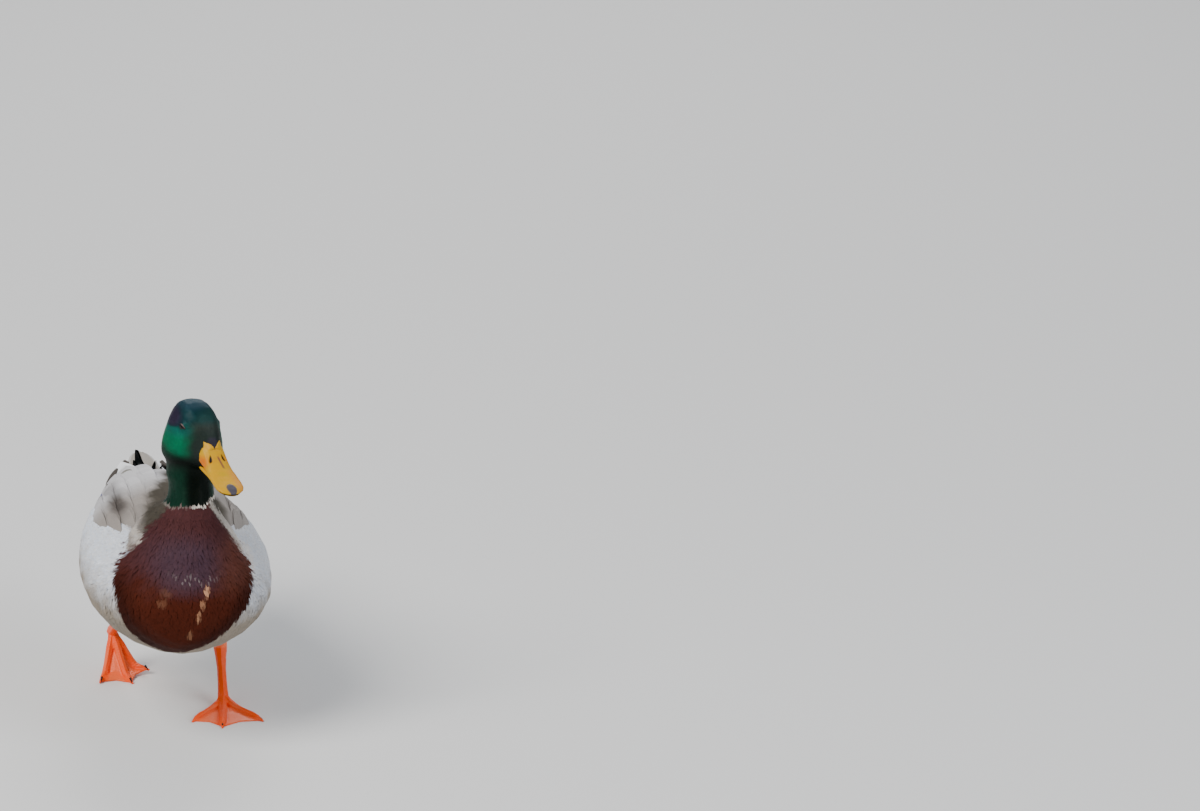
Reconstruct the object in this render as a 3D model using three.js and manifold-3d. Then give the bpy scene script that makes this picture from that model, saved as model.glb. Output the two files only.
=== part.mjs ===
// A drake mallard at life size, walking: left foot flat, right foot pushing off its toes.
// Millimetres, +Z up. The bird faces -Y, its left side is +X, and it stands on Z = 0.
import * as THREE from "three";
import { mergeVertices } from "three/addons/utils/BufferGeometryUtils.js";
import Module from "manifold-3d";

const wasm = await Module();
wasm.setup();

// ---- Driving dimensions -------------------------------------------------------------------

const GAP = 0.3; // clearance between neighbouring pieces
const TRUNK_ROLL = 3; // degrees, the back leans over the standing left foot
const TRUNK_PIVOT = new THREE.Vector3(-0.4, 0, 110);
const HEAD_CENTRE = new THREE.Vector3(14.4, -72, 259.4);
const HEAD_TURN = 20.5; // degrees, towards the bird's left
const HEAD_DIP = 8; // degrees, bill down
const HEAD_TILT = 4; // degrees, crown towards the bird's left
const FEATHER_THICK = 1.2;
const FAR = 400; // longer than the bird

// Trunk, breast to rump: its sway to the side, height of back and belly, half-width and the
// height where it is widest.
const TRUNK = [
  { y: -129, sway: 0, top: 130, bottom: 118, half: 6, level: 124 },
  { y: -126, sway: 0, top: 147, bottom: 103, half: 24, level: 123 },
  { y: -116, sway: 0, top: 160, bottom: 91, half: 41, level: 122 },
  { y: -96, sway: 0, top: 167.5, bottom: 80, half: 57, level: 120.5 },
  { y: -70, sway: 0, top: 169.5, bottom: 70, half: 68, level: 119 },
  { y: -36, sway: 0, top: 170, bottom: 60, half: 74, level: 118 },
  { y: 2, sway: 0, top: 170, bottom: 53, half: 75.5, level: 117.5 },
  { y: 40, sway: 0, top: 169, bottom: 51, half: 73.5, level: 118 },
  { y: 74, sway: -1.5, top: 166, bottom: 57, half: 66, level: 120 },
  { y: 104, sway: -4, top: 158.5, bottom: 73.5, half: 53, level: 124 },
  { y: 128, sway: -7, top: 150, bottom: 94, half: 40, level: 127.5 },
  { y: 148, sway: -9.5, top: 142.5, bottom: 112, half: 28, level: 130 },
  { y: 162, sway: -11, top: 138, bottom: 122, half: 19, level: 131 },
];
const TRUNK_CURVE = { up: 1.6, down: 1.75 }; // powers of its section, roof-like above and below

// Neck, inside the breast to inside the head: centre, half-width and half-depth fore and aft.
const NECK = [
  { x: 2, y: -60, z: 134, half: 54, depth: 64 },
  { x: 3, y: -63, z: 156, half: 46, depth: 56 },
  { x: 4.6, y: -66.5, z: 173, half: 34.5, depth: 43.5 },
  { x: 6, y: -69.5, z: 187, half: 25, depth: 29.5 },
  { x: 7, y: -70.5, z: 202, half: 18.9, depth: 20.6 },
  { x: 7.5, y: -69, z: 216, half: 17.9, depth: 19.2 },
  { x: 8.4, y: -67.5, z: 231, half: 18.6, depth: 20.6 },
  { x: 9.6, y: -67, z: 246, half: 18.2, depth: 21.5 },
];

// Skull with its feathers, nape to lores, in the head's own frame: u forward, v up. It sways
// over the neck behind the bill.
const SKULL = [
  { u: -29, sway: -2.2, top: -6, bottom: -17, half: 4, level: -12 },
  { u: -26.8, sway: -2.2, top: 4, bottom: -25, half: 11.2, level: -18 },
  { u: -20, sway: -2.2, top: 12.8, bottom: -31, half: 17.6, level: -22 },
  { u: -9, sway: -2, top: 18.4, bottom: -33.8, half: 24, level: -23.5 },
  { u: 3, sway: -1.8, top: 18.6, bottom: -33.2, half: 23.9, level: -23.5 },
  { u: 11.5, sway: -1.6, top: 14.6, bottom: -30.8, half: 21.6, level: -21.5 },
  { u: 19, sway: -0.6, top: 8.2, bottom: -28, half: 16, level: -18.5 },
  { u: 26, sway: 0, top: 0.8, bottom: -26, half: 11.4, level: -16 },
  { u: 33, sway: 0, top: -4.4, bottom: -24.5, half: 8.4, level: -15.5 },
];
const SKULL_CURVE = { up: 3, down: 2.1, taper: 0.31 }; // a broad dome over fuller cheeks
const TAPER_POWER = 0.7; // how soon above its widest line a section starts to taper

// Bill: culmen, mouth line and underside heights, with the half-widths of each half.
const BILL = [
  { u: 19, culmen: -4, mouth: -20, under: -26.5, upper: 8.4, lower: 7.6 },
  { u: 25.5, culmen: -0.9, mouth: -20.2, under: -27, upper: 10.2, lower: 8.6 },
  { u: 32, culmen: -5.2, mouth: -20.6, under: -27.2, upper: 10.8, lower: 9 },
  { u: 39, culmen: -10.6, mouth: -21, under: -27.2, upper: 10.4, lower: 8.8 },
  { u: 47, culmen: -15.6, mouth: -22, under: -27.4, upper: 10.6, lower: 9 },
  { u: 56, culmen: -19.4, mouth: -23.8, under: -28.2, upper: 11.6, lower: 9.6 },
  { u: 63, culmen: -21.6, mouth: -25.4, under: -29, upper: 12, lower: 9.8 },
  { u: 69, culmen: -23.2, mouth: -26.4, under: -29, upper: 10.6, lower: 8 },
  { u: 72.4, culmen: -24.7, mouth: -27, under: -28.6, upper: 6.6, lower: 4.4 },
  { u: 73.6, culmen: -26, mouth: -27.3, under: -28.2, upper: 2.6, lower: 1.6 },
];
const EYE = { u: 7, sway: -1.6, v: 2.6, half: 12.2, radius: 4.8 };

// Folded wing on the trunk's side: its lower edge from shoulder to rump, and how proud it stands.
const WING_EDGE = [
  [-76, 158], [-64, 143], [-34, 130], [4, 125], [42, 128], [76, 134], [104, 141], [124, 152],
];
const WING_INNER = 4; // where each wing starts beside the spine
const WING_PROUD = [
  { y: -90, by: 0.6 }, { y: -50, by: 1.4 }, { y: 20, by: 2.2 }, { y: 80, by: 3.6 }, { y: 160, by: 4.5 },
];
// Long feathers at the folded wing's end: each bundle's centre, half-width, half-thickness and
// the angle at which it slopes down to the side.
const TERTIALS = [
  { x: 35, y: 36, z: 156.5, half: 17, depth: 4.5, bank: 28 },
  { x: 32.5, y: 74, z: 156.5, half: 21, depth: 5, bank: 29 },
  { x: 28, y: 106, z: 155, half: 18, depth: 4, bank: 28 },
  { x: 22, y: 132, z: 153.5, half: 10, depth: 2.6, bank: 22 },
  { x: 19, y: 149, z: 151, half: 2.6, depth: 1.1, bank: 16 },
];
const PRIMARIES = [
  { x: 46, y: 82, z: 143, half: 9, depth: 4, bank: 50 },
  { x: 39, y: 112, z: 145, half: 8.5, depth: 3, bank: 46 },
  { x: 29, y: 140, z: 146, half: 7, depth: 2, bank: 36 },
  { x: 20, y: 163, z: 145.5, half: 4.2, depth: 1.4, bank: 26 },
  { x: 15, y: 178, z: 144.5, half: 1.6, depth: 1, bank: 20 },
];

// Tail: a fan of vanes from a root under the rump, with curled black coverts on top. The whole
// of it swings towards the bird's right.
const TAIL = { x: -7, y: 128, swing: 4, z: 128, length: 84, half: 9, spread: 13, fan: 3, lift: 7, per_side: 4 };
const CURL_RADIUS = 8.6;
const CURLS = [
  { x: 4, y: 33, z: 17, size: 1 },
  { x: -4.6, y: 35, z: 16.5, size: 1.1 },
  { x: 9.4, y: 26, z: 16.5, size: 0.76 },
  { x: -10.4, y: 27, z: 16, size: 0.82 },
];
const CURL_TURN = 190; // degrees from lying flat to the tip
const CURL_ROOT = { y: 19, z: 14.5, half: 12, length: 21, depth: 4 }; // coverts they grow from

// Legs: joint centres, each toe's angle from straight ahead and its length, the hind toe's length,
// heading and rise, and how much of each front toe lies flat on the ground.
const LEGS = {
  left: {
    hip: [28, 6, 86], ankle: [37, 25, 41], knuckle: [36, -5, 7.6],
    toes: { inner: [-38, 47], middle: [-6, 54], outer: [33, 52] }, hind: { length: 14, heading: 176, rise: -24 }, flat: 36,
  },
  right: {
    hip: [-28, 16, 94], ankle: [-41.5, 54, 58.5], knuckle: [-45, 91, 33.5],
    toes: { inner: [57, 47], middle: [19, 54], outer: [-22, 51] }, hind: { length: 16, heading: 186, rise: 18 }, flat: 13,
  },
};
const TOE_RADIUS = 3.1;
const TOE_REST = 0.8 * TOE_RADIUS; // height of a toe's middle where it lies on the ground
const CLAW_FROM = 0.86; // share of a toe's length where its claw starts
const WEB_THICK = 1.3;

// ---- Finishes -----------------------------------------------------------------------------

function finish(colour, roughness, metalness = 0) {
  return new THREE.MeshStandardMaterial({ color: colour, roughness, metalness });
}
const FINISH = {
  green: finish(0x0f4a37, 0.35, 0.3),
  chestnut: finish(0x4a2419, 0.6),
  grey: finish(0xb9b7b4, 0.8),
  wing: finish(0x8e8780, 0.8),
  white: finish(0xe6e6e4, 0.8),
  black: finish(0x111214, 0.5),
  yellow: finish(0xd6b516, 0.4),
  orange: finish(0xf0591a, 0.5),
  eye: finish(0x140a06, 0.1),
};

// ---- Shaping ------------------------------------------------------------------------------

/** A smooth track through one column of a station table, as a function of t from 0 to 1. */
function track(stations, key) {
  const curve = new THREE.SplineCurve(stations.map((s, i) => new THREE.Vector2(i, s[key])));
  return (t) => curve.getPoint(t).y;
}

/** A point on a superellipse of unit radii at angle a; power 2 is a circle, more is squarer. */
function superellipse(a, power) {
  const bend = (c) => Math.sign(c) * Math.abs(c) ** (2 / power);
  return new THREE.Vector2(bend(Math.cos(a)), bend(Math.sin(a)));
}

/** A closed skin from section(t, a), a point for each station t and angle a round it. */
function skin(section, sides, rings) {
  const geometry = new THREE.CylinderGeometry(1, 1, 1, sides, rings);
  const at = geometry.getAttribute("position");
  for (let i = 0; i < at.count; i++) {
    const t = THREE.MathUtils.clamp(0.5 - at.getY(i), 0, 1);
    const onRing = Math.hypot(at.getX(i), at.getZ(i)) > 0.5;
    const a = Math.atan2(at.getZ(i), at.getX(i));
    const centre = section(t, 0).add(section(t, Math.PI)).multiplyScalar(0.5);
    const p = onRing ? section(t, a) : centre;
    at.setXYZ(i, p.x, p.y, p.z);
  }
  return geometry;
}

/**
 * A body along Y from stations of sway, top, bottom, half-width and the level of that width.
 * Its section has a power above that level and another below, and may taper towards the top.
 */
function bodyLoft(stations, axis, sides, rings, { up, down, taper = 0, proud = () => 0 }) {
  const [along, sway, top, bottom, half, level] =
    [axis, "sway", "top", "bottom", "half", "level"].map((key) => track(stations, key));
  const forward = axis === "u" ? -1 : 1;
  return skin((t, a) => {
    const c = superellipse(a, Math.sin(a) > 0 ? up : down);
    const y = forward * along(t);
    const grow = proud(y);
    const rise = c.y > 0 ? top(t) - level(t) : level(t) - bottom(t);
    const width = c.x * (1 - taper * Math.max(c.y, 0) ** TAPER_POWER) * (half(t) + grow);
    return new THREE.Vector3(sway(t) + width, y, level(t) + c.y * (rise + grow));
  }, sides, rings);
}

/** A tube through stations of centre, half-width, depth and the bank of that width to the side. */
function tubeLoft(stations, sides, rings, grow = 0) {
  const spine = new THREE.CatmullRomCurve3(stations.map((s) => new THREE.Vector3(s.x, s.y, s.z)));
  const [half, depth] = ["half", "depth"].map((key) => track(stations, key));
  const bank = "bank" in stations[0] ? track(stations, "bank") : () => 0;
  return skin((t, a) => {
    const along = spine.getTangent(t);
    const lean = THREE.MathUtils.degToRad(bank(t));
    const across = new THREE.Vector3(Math.cos(lean), 0, -Math.sin(lean));
    across.addScaledVector(along, -across.dot(along)).normalize();
    const out = new THREE.Vector3().crossVectors(along, across);
    return spine.getPoint(t)
      .addScaledVector(across, -Math.cos(a) * (half(t) + grow))
      .addScaledVector(out, Math.sin(a) * (depth(t) + grow));
  }, sides, rings);
}

// ---- Solids: joining, cutting and parting --------------------------------------------------

/** A group's geometry as a solid in the bird's frame. */
function solid(geometry, group) {
  const bare = geometry.index ? geometry.toNonIndexed() : geometry.clone();
  bare.deleteAttribute("normal");
  bare.deleteAttribute("uv");
  if (group) bare.applyMatrix4(worldOf(group));
  const merged = mergeVertices(bare, 1e-4);
  const vertProperties = merged.attributes.position.array;
  const triVerts = new Uint32Array(merged.index.array);
  const made = new wasm.Manifold(new wasm.Mesh({ numProp: 3, vertProperties, triVerts }));
  if (made.volume() > 0) return made;
  for (let i = 0; i < triVerts.length; i += 3) {
    [triVerts[i + 1], triVerts[i + 2]] = [triVerts[i + 2], triVerts[i + 1]];
  }
  return new wasm.Manifold(new wasm.Mesh({ numProp: 3, vertProperties, triVerts }));
}

function worldOf(group) {
  duck.updateMatrixWorld(true);
  return group.matrixWorld;
}

const join = (...solids) => solids.reduce((a, b) => a.add(b));
const largest = (s) => s.decompose().sort((a, b) => b.volume() - a.volume())[0];

/** A thin disc that parts a body where it stands, facing along normal. */
function disc(centre, normal, radius) {
  const g = new THREE.CylinderGeometry(radius, radius, GAP, 24);
  const turn = new THREE.Quaternion().setFromUnitVectors(
    new THREE.Vector3(0, 1, 0), normal.clone().normalize());
  g.applyQuaternion(turn).translate(centre.x, centre.y, centre.z);
  return solid(g);
}

/** The two bodies on either side of a disc: first the one that normal points to. */
function part(whole, centre, normal, radius) {
  const sideOf = (s) => {
    const { min, max } = s.boundingBox();
    const middle = new THREE.Vector3().fromArray(min).add(new THREE.Vector3().fromArray(max));
    return middle.multiplyScalar(0.5).sub(centre).dot(normal);
  };
  const bodies = whole.subtract(disc(centre, normal, radius)).decompose();
  const main = bodies.sort((a, b) => b.volume() - a.volume()).slice(0, 2);
  return main.sort((a, b) => sideOf(b) - sideOf(a));
}

/** Adds a solid, given in the bird's frame, to a group as a named mesh. */
function place(name, made, material, group) {
  const mesh = made.getMesh();
  const step = mesh.numProp;
  const points = new Float32Array(mesh.numVert * 3);
  for (let i = 0; i < mesh.numVert; i++) {
    points.set(mesh.vertProperties.subarray(i * step, i * step + 3), i * 3);
  }
  const geometry = new THREE.BufferGeometry()
    .setAttribute("position", new THREE.BufferAttribute(points, 3))
    .setIndex(new THREE.BufferAttribute(new Uint32Array(mesh.triVerts), 1))
    .applyMatrix4(worldOf(group).clone().invert());
  geometry.computeVertexNormals();
  const node = new THREE.Mesh(geometry, material);
  node.name = name;
  group.add(node);
}

// ---- The bird's groups ----------------------------------------------------------------------

const duck = new THREE.Group();
const body = new THREE.Group(); // the rolled trunk, about a pivot in its middle
body.position.copy(TRUNK_PIVOT);
body.rotation.y = THREE.MathUtils.degToRad(TRUNK_ROLL);
const bodyForms = new THREE.Group(); // trunk forms, drawn upright about X = 0
bodyForms.position.set(0, 0, -TRUNK_PIVOT.z);
body.add(bodyForms);
const tailForms = new THREE.Group(); // tail forms, drawn straight along +Y from their root
tailForms.position.set(TAIL.x, TAIL.y, TAIL.z);
tailForms.rotation.z = THREE.MathUtils.degToRad(TAIL.swing);
bodyForms.add(tailForms);
const head = new THREE.Group();
head.position.copy(HEAD_CENTRE);
head.rotation.order = "ZYX";
head.rotation.set(...[HEAD_DIP, HEAD_TILT, HEAD_TURN].map(THREE.MathUtils.degToRad));
const legs = new THREE.Group();
duck.add(body, head, legs);

// ---- Trunk, neck and head: one form, parted by thin cuts ------------------------------------

const trunkForm = (grow) => bodyLoft(TRUNK, "y", 22, 16, { ...TRUNK_CURVE, proud: () => grow });
const skullForm = (grow) => bodyLoft(SKULL, "u", 18, 11, { ...SKULL_CURVE, proud: () => grow });

/** Trunk, neck and skull joined, each standing out by grow. */
function flesh(grow = 0) {
  return join(
    solid(trunkForm(grow), bodyForms),
    solid(tubeLoft(NECK, 16, 9, grow), duck),
    solid(skullForm(grow), head));
}

/** The eyeball on one side of the head, or a larger ball about the same centre. */
function eyeball(side, radius) {
  const g = new THREE.SphereGeometry(radius, 11, 7);
  g.translate(EYE.sway + side * EYE.half, -EYE.u, EYE.v);
  return solid(g, head);
}

function buildFlesh() {
  const whole = flesh().subtract(join(eyeball(1, EYE.radius + GAP), eyeball(-1, EYE.radius + GAP)));
  const ring = new THREE.Vector3(7.6, -71.5, 193);
  const throat = new THREE.Vector3(10, -70.5, 229);
  const [upper, trunk] = part(whole, ring, new THREE.Vector3(0, -0.12, 1), 48);
  const [skull, neck] = part(upper, throat, new THREE.Vector3(0.05, 0.25, 1).normalize(), 40);
  place("trunk", trunk, FINISH.chestnut, body);
  place("neck", neck, FINISH.green, duck);
  place("head", skull, FINISH.green, head);
  for (const [name, side] of [["eye_left", 1], ["eye_right", -1]]) {
    place(name, eyeball(side, EYE.radius), FINISH.eye, head);
  }
}

// ---- Bill -----------------------------------------------------------------------------------

/** One half of the bill between two height columns, rounder on its outer side. */
function billHalf(upperKey, lowerKey, halfKey, outerUp, gap) {
  const stations = BILL.map((s) => {
    const top = s[upperKey] - (outerUp ? 0 : gap);
    const bottom = s[lowerKey];
    const rise = outerUp ? 0.28 : 0.72;
    return { u: s.u, sway: 0, top, bottom, half: s[halfKey], level: bottom + rise * (top - bottom) };
  });
  return solid(bodyLoft(stations, "u", 14, 11, { up: 2.4, down: 2.4 }), head);
}

function buildBill(grown) {
  const upper = billHalf("culmen", "mouth", "upper", true, 0);
  const lower = billHalf("mouth", "under", "lower", false, GAP);
  place("bill_upper", largest(upper.subtract(grown)), FINISH.yellow, head);
  place("bill_lower", largest(lower.subtract(grown).subtract(upper)), FINISH.yellow, head);
}

// ---- Wings ----------------------------------------------------------------------------------

/** A table's column at a place y between its rows, in a straight line from one to the next. */
function valueAt(rows, key, y) {
  const next = rows.findIndex((row) => row.y > y);
  if (next <= 0) return rows.at(next === 0 ? 0 : -1)[key];
  const [a, b] = [rows[next - 1], rows[next]];
  return THREE.MathUtils.mapLinear(y, a.y, b.y, a[key], b[key]);
}

/** Stations on one side of the swaying trunk, from a table drawn for the left of a straight one. */
function onSide(stations, side) {
  return stations.map((s) => ({ ...s, x: s.x * side + valueAt(TRUNK, "sway", s.y), bank: s.bank * side }));
}

/** The wing's outline seen from the side, extruded outwards from beside the spine. */
function wingCutter(side) {
  const outline = new THREE.Shape();
  const [first, ...rest] = WING_EDGE.map(([y, z]) => new THREE.Vector2(y, z));
  outline.moveTo(first.x, FAR / 2).lineTo(first.x, first.y).splineThru(rest);
  outline.lineTo(rest.at(-1).x, FAR / 2);
  const toSide = new THREE.Matrix4().makeBasis(
    new THREE.Vector3(0, 1, 0), new THREE.Vector3(0, 0, 1), new THREE.Vector3(side, 0, 0));
  return new THREE.ExtrudeGeometry(outline, { depth: FAR / 4, bevelEnabled: false, curveSegments: 8 })
    .applyMatrix4(toSide).translate(side * WING_INNER, 0, 0);
}

function buildWing(name, side, grown) {
  const shell = solid(bodyLoft(TRUNK, "y", 22, 13, {
    ...TRUNK_CURVE, proud: (y) => valueAt(WING_PROUD, "by", y),
  }), bodyForms)
    .intersect(solid(wingCutter(side), bodyForms));
  const blades = [TERTIALS, PRIMARIES].map((t) => solid(tubeLoft(onSide(t, side), 6, 6), bodyForms));
  place(name, largest(join(shell, ...blades).subtract(grown)), FINISH.wing, body);
}

// ---- Tail -----------------------------------------------------------------------------------

/** One tail feather's outline, root at the origin and tip along +Y. */
function vaneShape(length, half) {
  const s = new THREE.Shape();
  s.moveTo(-half * 0.4, 0);
  s.bezierCurveTo(-half * 1.15, length * 0.35, -half * 1.1, length * 0.9, 0, length);
  s.bezierCurveTo(half * 1.1, length * 0.9, half * 1.15, length * 0.35, half * 0.4, 0);
  s.closePath();
  return s;
}

function buildTail(grown) {
  const vanes = [];
  for (let i = -TAIL.per_side; i <= TAIL.per_side; i++) {
    const share = i / TAIL.per_side;
    const length = TAIL.length * (1 - 0.26 * share * share);
    const g = new THREE.ExtrudeGeometry(vaneShape(length, TAIL.half), {
      depth: FEATHER_THICK, bevelEnabled: false, curveSegments: 4,
    });
    g.rotateY(THREE.MathUtils.degToRad(14 * share));
    g.rotateX(THREE.MathUtils.degToRad(TAIL.lift + 2));
    g.rotateZ(THREE.MathUtils.degToRad(-TAIL.fan * share));
    g.translate(TAIL.spread * share, 0, 3 - 5 * share * share);
    vanes.push(solid(g, tailForms));
  }
  const root = new THREE.SphereGeometry(1, 12, 6).scale(18, 40, 5.5);
  root.rotateX(THREE.MathUtils.degToRad(TAIL.lift - 4)).translate(0, 24, 4);
  const fan = join(...vanes, solid(root, tailForms)).subtract(grown);
  place("tail", largest(fan), FINISH.white, body);
}

/** A strip that runs back along the rump, then curls up and forwards over it. */
function curlGeometry({ x, y, z, size }) {
  const r = CURL_RADIUS * size;
  const points = [new THREE.Vector3(x, y - 12, z - 1), new THREE.Vector3(x, y, z)];
  for (let turn = 0.2 * CURL_TURN; turn <= CURL_TURN; turn += 0.2 * CURL_TURN) {
    const a = THREE.MathUtils.degToRad(turn);
    const lean = Math.sign(x) * 5 * (turn / CURL_TURN) * size;
    points.push(new THREE.Vector3(x + lean, y + r * Math.sin(a), z + r * (1 - Math.cos(a))));
  }
  const path = new THREE.CatmullRomCurve3(points);
  return skin((t, a) => {
    const along = path.getTangent(t);
    const across = new THREE.Vector3(1, 0, 0).addScaledVector(along, -along.x).normalize();
    const out = new THREE.Vector3().crossVectors(along, across);
    const half = 4.4 * size * Math.sin(Math.PI * (0.16 + 0.82 * t)) ** 0.7;
    return path.getPoint(t)
      .addScaledVector(across, -Math.cos(a) * half)
      .addScaledVector(out, Math.sin(a) * 0.6);
  }, 5, 11);
}

function buildCurls(grown) {
  const { y, z, half, length, depth } = CURL_ROOT;
  const root = new THREE.SphereGeometry(1, 10, 6).scale(half, length, depth).translate(0, y, z);
  const curls = CURLS.map((curl) => solid(curlGeometry(curl), tailForms));
  place("tail_curls", largest(join(solid(root, tailForms), ...curls).subtract(grown)), FINISH.black, body);
}

// ---- Legs -----------------------------------------------------------------------------------

const vector = (p) => new THREE.Vector3(...p);

/** A point along a toe: s millimetres from the knuckle, falling to the ground as it goes. */
function toePoint(leg, toe, s) {
  const [angle, length] = leg.toes[toe];
  const start = vector(leg.knuckle);
  const drop = start.z - TOE_REST;
  const raised = length - leg.flat;
  const slope = Math.min(drop / raised, 0.8);
  const bent = Math.min(s, raised);
  const ahead = bent * Math.sqrt(1 - slope * slope) + Math.max(s - raised, 0);
  const a = THREE.MathUtils.degToRad(angle);
  const z = Math.max(start.z - bent * slope, TOE_REST);
  return new THREE.Vector3(start.x + ahead * Math.sin(a), start.y - ahead * Math.cos(a), z);
}

/** One toe, swollen at its joints and drawn out to a claw. */
function toeSolid(leg, toe) {
  const length = leg.toes[toe][1];
  const steps = 10;
  const stations = [];
  for (let i = 0; i <= steps; i++) {
    const t = i / steps;
    const swell = 1 + 0.09 * Math.cos(t * 6 * Math.PI);
    const taper = t < CLAW_FROM ? 1 - 0.22 * t : 0.81 - 4.2 * (t - CLAW_FROM);
    const half = TOE_RADIUS * swell * taper;
    const p = toePoint(leg, toe, t * length);
    stations.push({ x: p.x, y: p.y, z: p.z - 0.8 * (TOE_RADIUS - half), half, depth: half });
  }
  return solid(tubeLoft(stations, 6, 7), duck);
}

/** The skin stretched between two toes, hollowed along its front edge. */
function webSolid(leg, a, b) {
  const g = new THREE.BoxGeometry(1, 1, 1, 2, 4, 1);
  const at = g.getAttribute("position");
  for (let i = 0; i < at.count; i++) {
    const across = at.getX(i) + 0.5;
    const reach = (at.getY(i) + 0.5) * (0.9 - 0.09 * Math.sin(Math.PI * across)) + 0.04;
    const pa = toePoint(leg, a, reach * leg.toes[a][1]);
    const pb = toePoint(leg, b, reach * leg.toes[b][1]);
    const p = pa.lerp(pb, across);
    at.setXYZ(i, p.x, p.y, p.z - TOE_REST + WEB_THICK * (at.getZ(i) + 0.5) - 0.1);
  }
  return solid(g, duck);
}

/** Thigh, shank and foot of one leg, parted at the ankle and the knuckle. */
function buildLeg(side, leg, grown) {
  const [hip, ankle, knuckle] = [leg.hip, leg.ankle, leg.knuckle].map(vector);
  const at = (t, half, depth) => ({ ...ankle.clone().lerp(knuckle, t), half, depth });
  const above = (t, half, depth) => ({ ...ankle.clone().lerp(hip, t), half, depth });
  const thigh = tubeLoft([above(-0.02, 5.2, 5.8), above(0.16, 7, 8.5), above(0.45, 13, 17), above(1, 20, 26)], 10, 5);
  const shank = tubeLoft(
    [at(-0.13, 4.6, 5), at(0, 5.7, 6.3), at(0.18, 4.6, 5.4), at(0.5, 3.5, 4.3), at(0.85, 3.9, 4.7), at(1.04, 4.6, 4.8)], 8, 7);
  const toes = ["inner", "middle", "outer"].map((toe) => toeSolid(leg, toe));
  const webs = [webSolid(leg, "inner", "middle"), webSolid(leg, "middle", "outer")];
  const ground = solid(new THREE.BoxGeometry(FAR, FAR, FAR).translate(0, 0, -FAR / 2));
  const limb = join(solid(shank, duck), ...toes, ...webs).subtract(ground);
  const down = knuckle.clone().sub(ankle).normalize();
  const footCut = knuckle.clone().addScaledVector(down, -4.5);
  const [foot, upper] = part(limb, footCut, down, 9);
  const thighAxis = hip.clone().sub(ankle).normalize();
  const thighCut = ankle.clone().addScaledVector(thighAxis, 5.5);
  const joined = largest(join(solid(thigh, duck), upper).subtract(grown));
  const [thighPiece, shankPiece] = part(joined, thighCut, thighAxis, 14);
  place(`thigh_${side}`, thighPiece, FINISH.grey, legs);
  place(`shank_${side}`, shankPiece, FINISH.orange, legs);
  place(`foot_${side}`, foot, FINISH.orange, legs);
  return { upper: shankPiece, foot };
}

/** The small raised hind toe behind each shank. */
function buildHindToe(side, leg, neighbours) {
  const [ankle, knuckle] = [leg.ankle, leg.knuckle].map(vector);
  const root = knuckle.clone().lerp(ankle, 0.2);
  const [heading, rise] = [leg.hind.heading, leg.hind.rise].map(THREE.MathUtils.degToRad);
  const back = new THREE.Vector3(Math.sin(heading), -Math.cos(heading), Math.tan(rise)).normalize();
  const stations = [[0.1, 2.2], [0.4, 2.1], [0.7, 1.8], [0.86, 1.4], [1, 0.6]].map(([t, half]) => {
    const p = root.clone().addScaledVector(back, t * leg.hind.length);
    return { x: p.x, y: p.y, z: p.z, half, depth: half };
  });
  const grown = tubeLoft([
    { ...ankle, half: 6, depth: 6.6 },
    { ...ankle.clone().lerp(knuckle, 0.5), half: 4.2, depth: 5 },
    { ...knuckle, half: 5.4, depth: 5.7 }], 8, 5);
  const toe = solid(tubeLoft(stations, 6, 5), duck).subtract(solid(grown, duck)).subtract(neighbours);
  place(`hind_toe_${side}`, largest(toe), FINISH.orange, legs);
}

// ---- Build ----------------------------------------------------------------------------------

buildFlesh();
const grownFlesh = flesh(GAP);
buildBill(grownFlesh);
buildWing("wing_left", 1, grownFlesh);
buildWing("wing_right", -1, grownFlesh);
buildTail(grownFlesh);
for (const [side, leg] of Object.entries(LEGS)) {
  const { upper, foot } = buildLeg(side, leg, grownFlesh);
  buildHindToe(side, leg, join(upper, foot));
}
buildCurls(grownFlesh);

// The origin is on the ground, under the middle of the whole bird.
const bounds = new THREE.Box3().setFromObject(duck, true);
const middle = bounds.getCenter(new THREE.Vector3());
duck.position.set(-middle.x, -middle.y, -bounds.min.z);

export default duck;
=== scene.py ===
"""A drake mallard at life size, walking, with its head turned to its left.

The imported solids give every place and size. One skin lies inside the solids of flesh, and the
plumage is laid over it, feather by feather, along the lie of the coat. The bill, eyes, legs and
claws are pieces of their own. Sizes in the classes are millimetres; meshes are in metres.
"""

import enum
import logging
import math
from dataclasses import dataclass
from functools import partial
from typing import Callable, Sequence

import bpy
import numpy as np
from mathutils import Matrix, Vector
from mathutils.bvhtree import BVHTree
from mathutils.kdtree import KDTree


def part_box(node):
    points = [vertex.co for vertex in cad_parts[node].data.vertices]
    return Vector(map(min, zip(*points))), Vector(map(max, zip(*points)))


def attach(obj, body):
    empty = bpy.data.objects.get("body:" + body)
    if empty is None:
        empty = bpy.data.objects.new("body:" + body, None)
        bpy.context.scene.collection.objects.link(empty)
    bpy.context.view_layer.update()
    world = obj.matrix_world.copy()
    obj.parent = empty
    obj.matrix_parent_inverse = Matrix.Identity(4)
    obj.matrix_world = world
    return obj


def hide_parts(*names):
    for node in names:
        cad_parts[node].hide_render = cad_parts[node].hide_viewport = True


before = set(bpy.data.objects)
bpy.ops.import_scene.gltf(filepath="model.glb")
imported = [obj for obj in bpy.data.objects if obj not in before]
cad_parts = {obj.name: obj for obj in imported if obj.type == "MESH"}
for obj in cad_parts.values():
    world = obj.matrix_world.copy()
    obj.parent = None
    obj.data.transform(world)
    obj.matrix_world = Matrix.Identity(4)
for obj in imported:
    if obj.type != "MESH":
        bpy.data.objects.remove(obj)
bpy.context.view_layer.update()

Array = np.ndarray
Piece = bpy.types.Object
Material = bpy.types.Material

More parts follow.
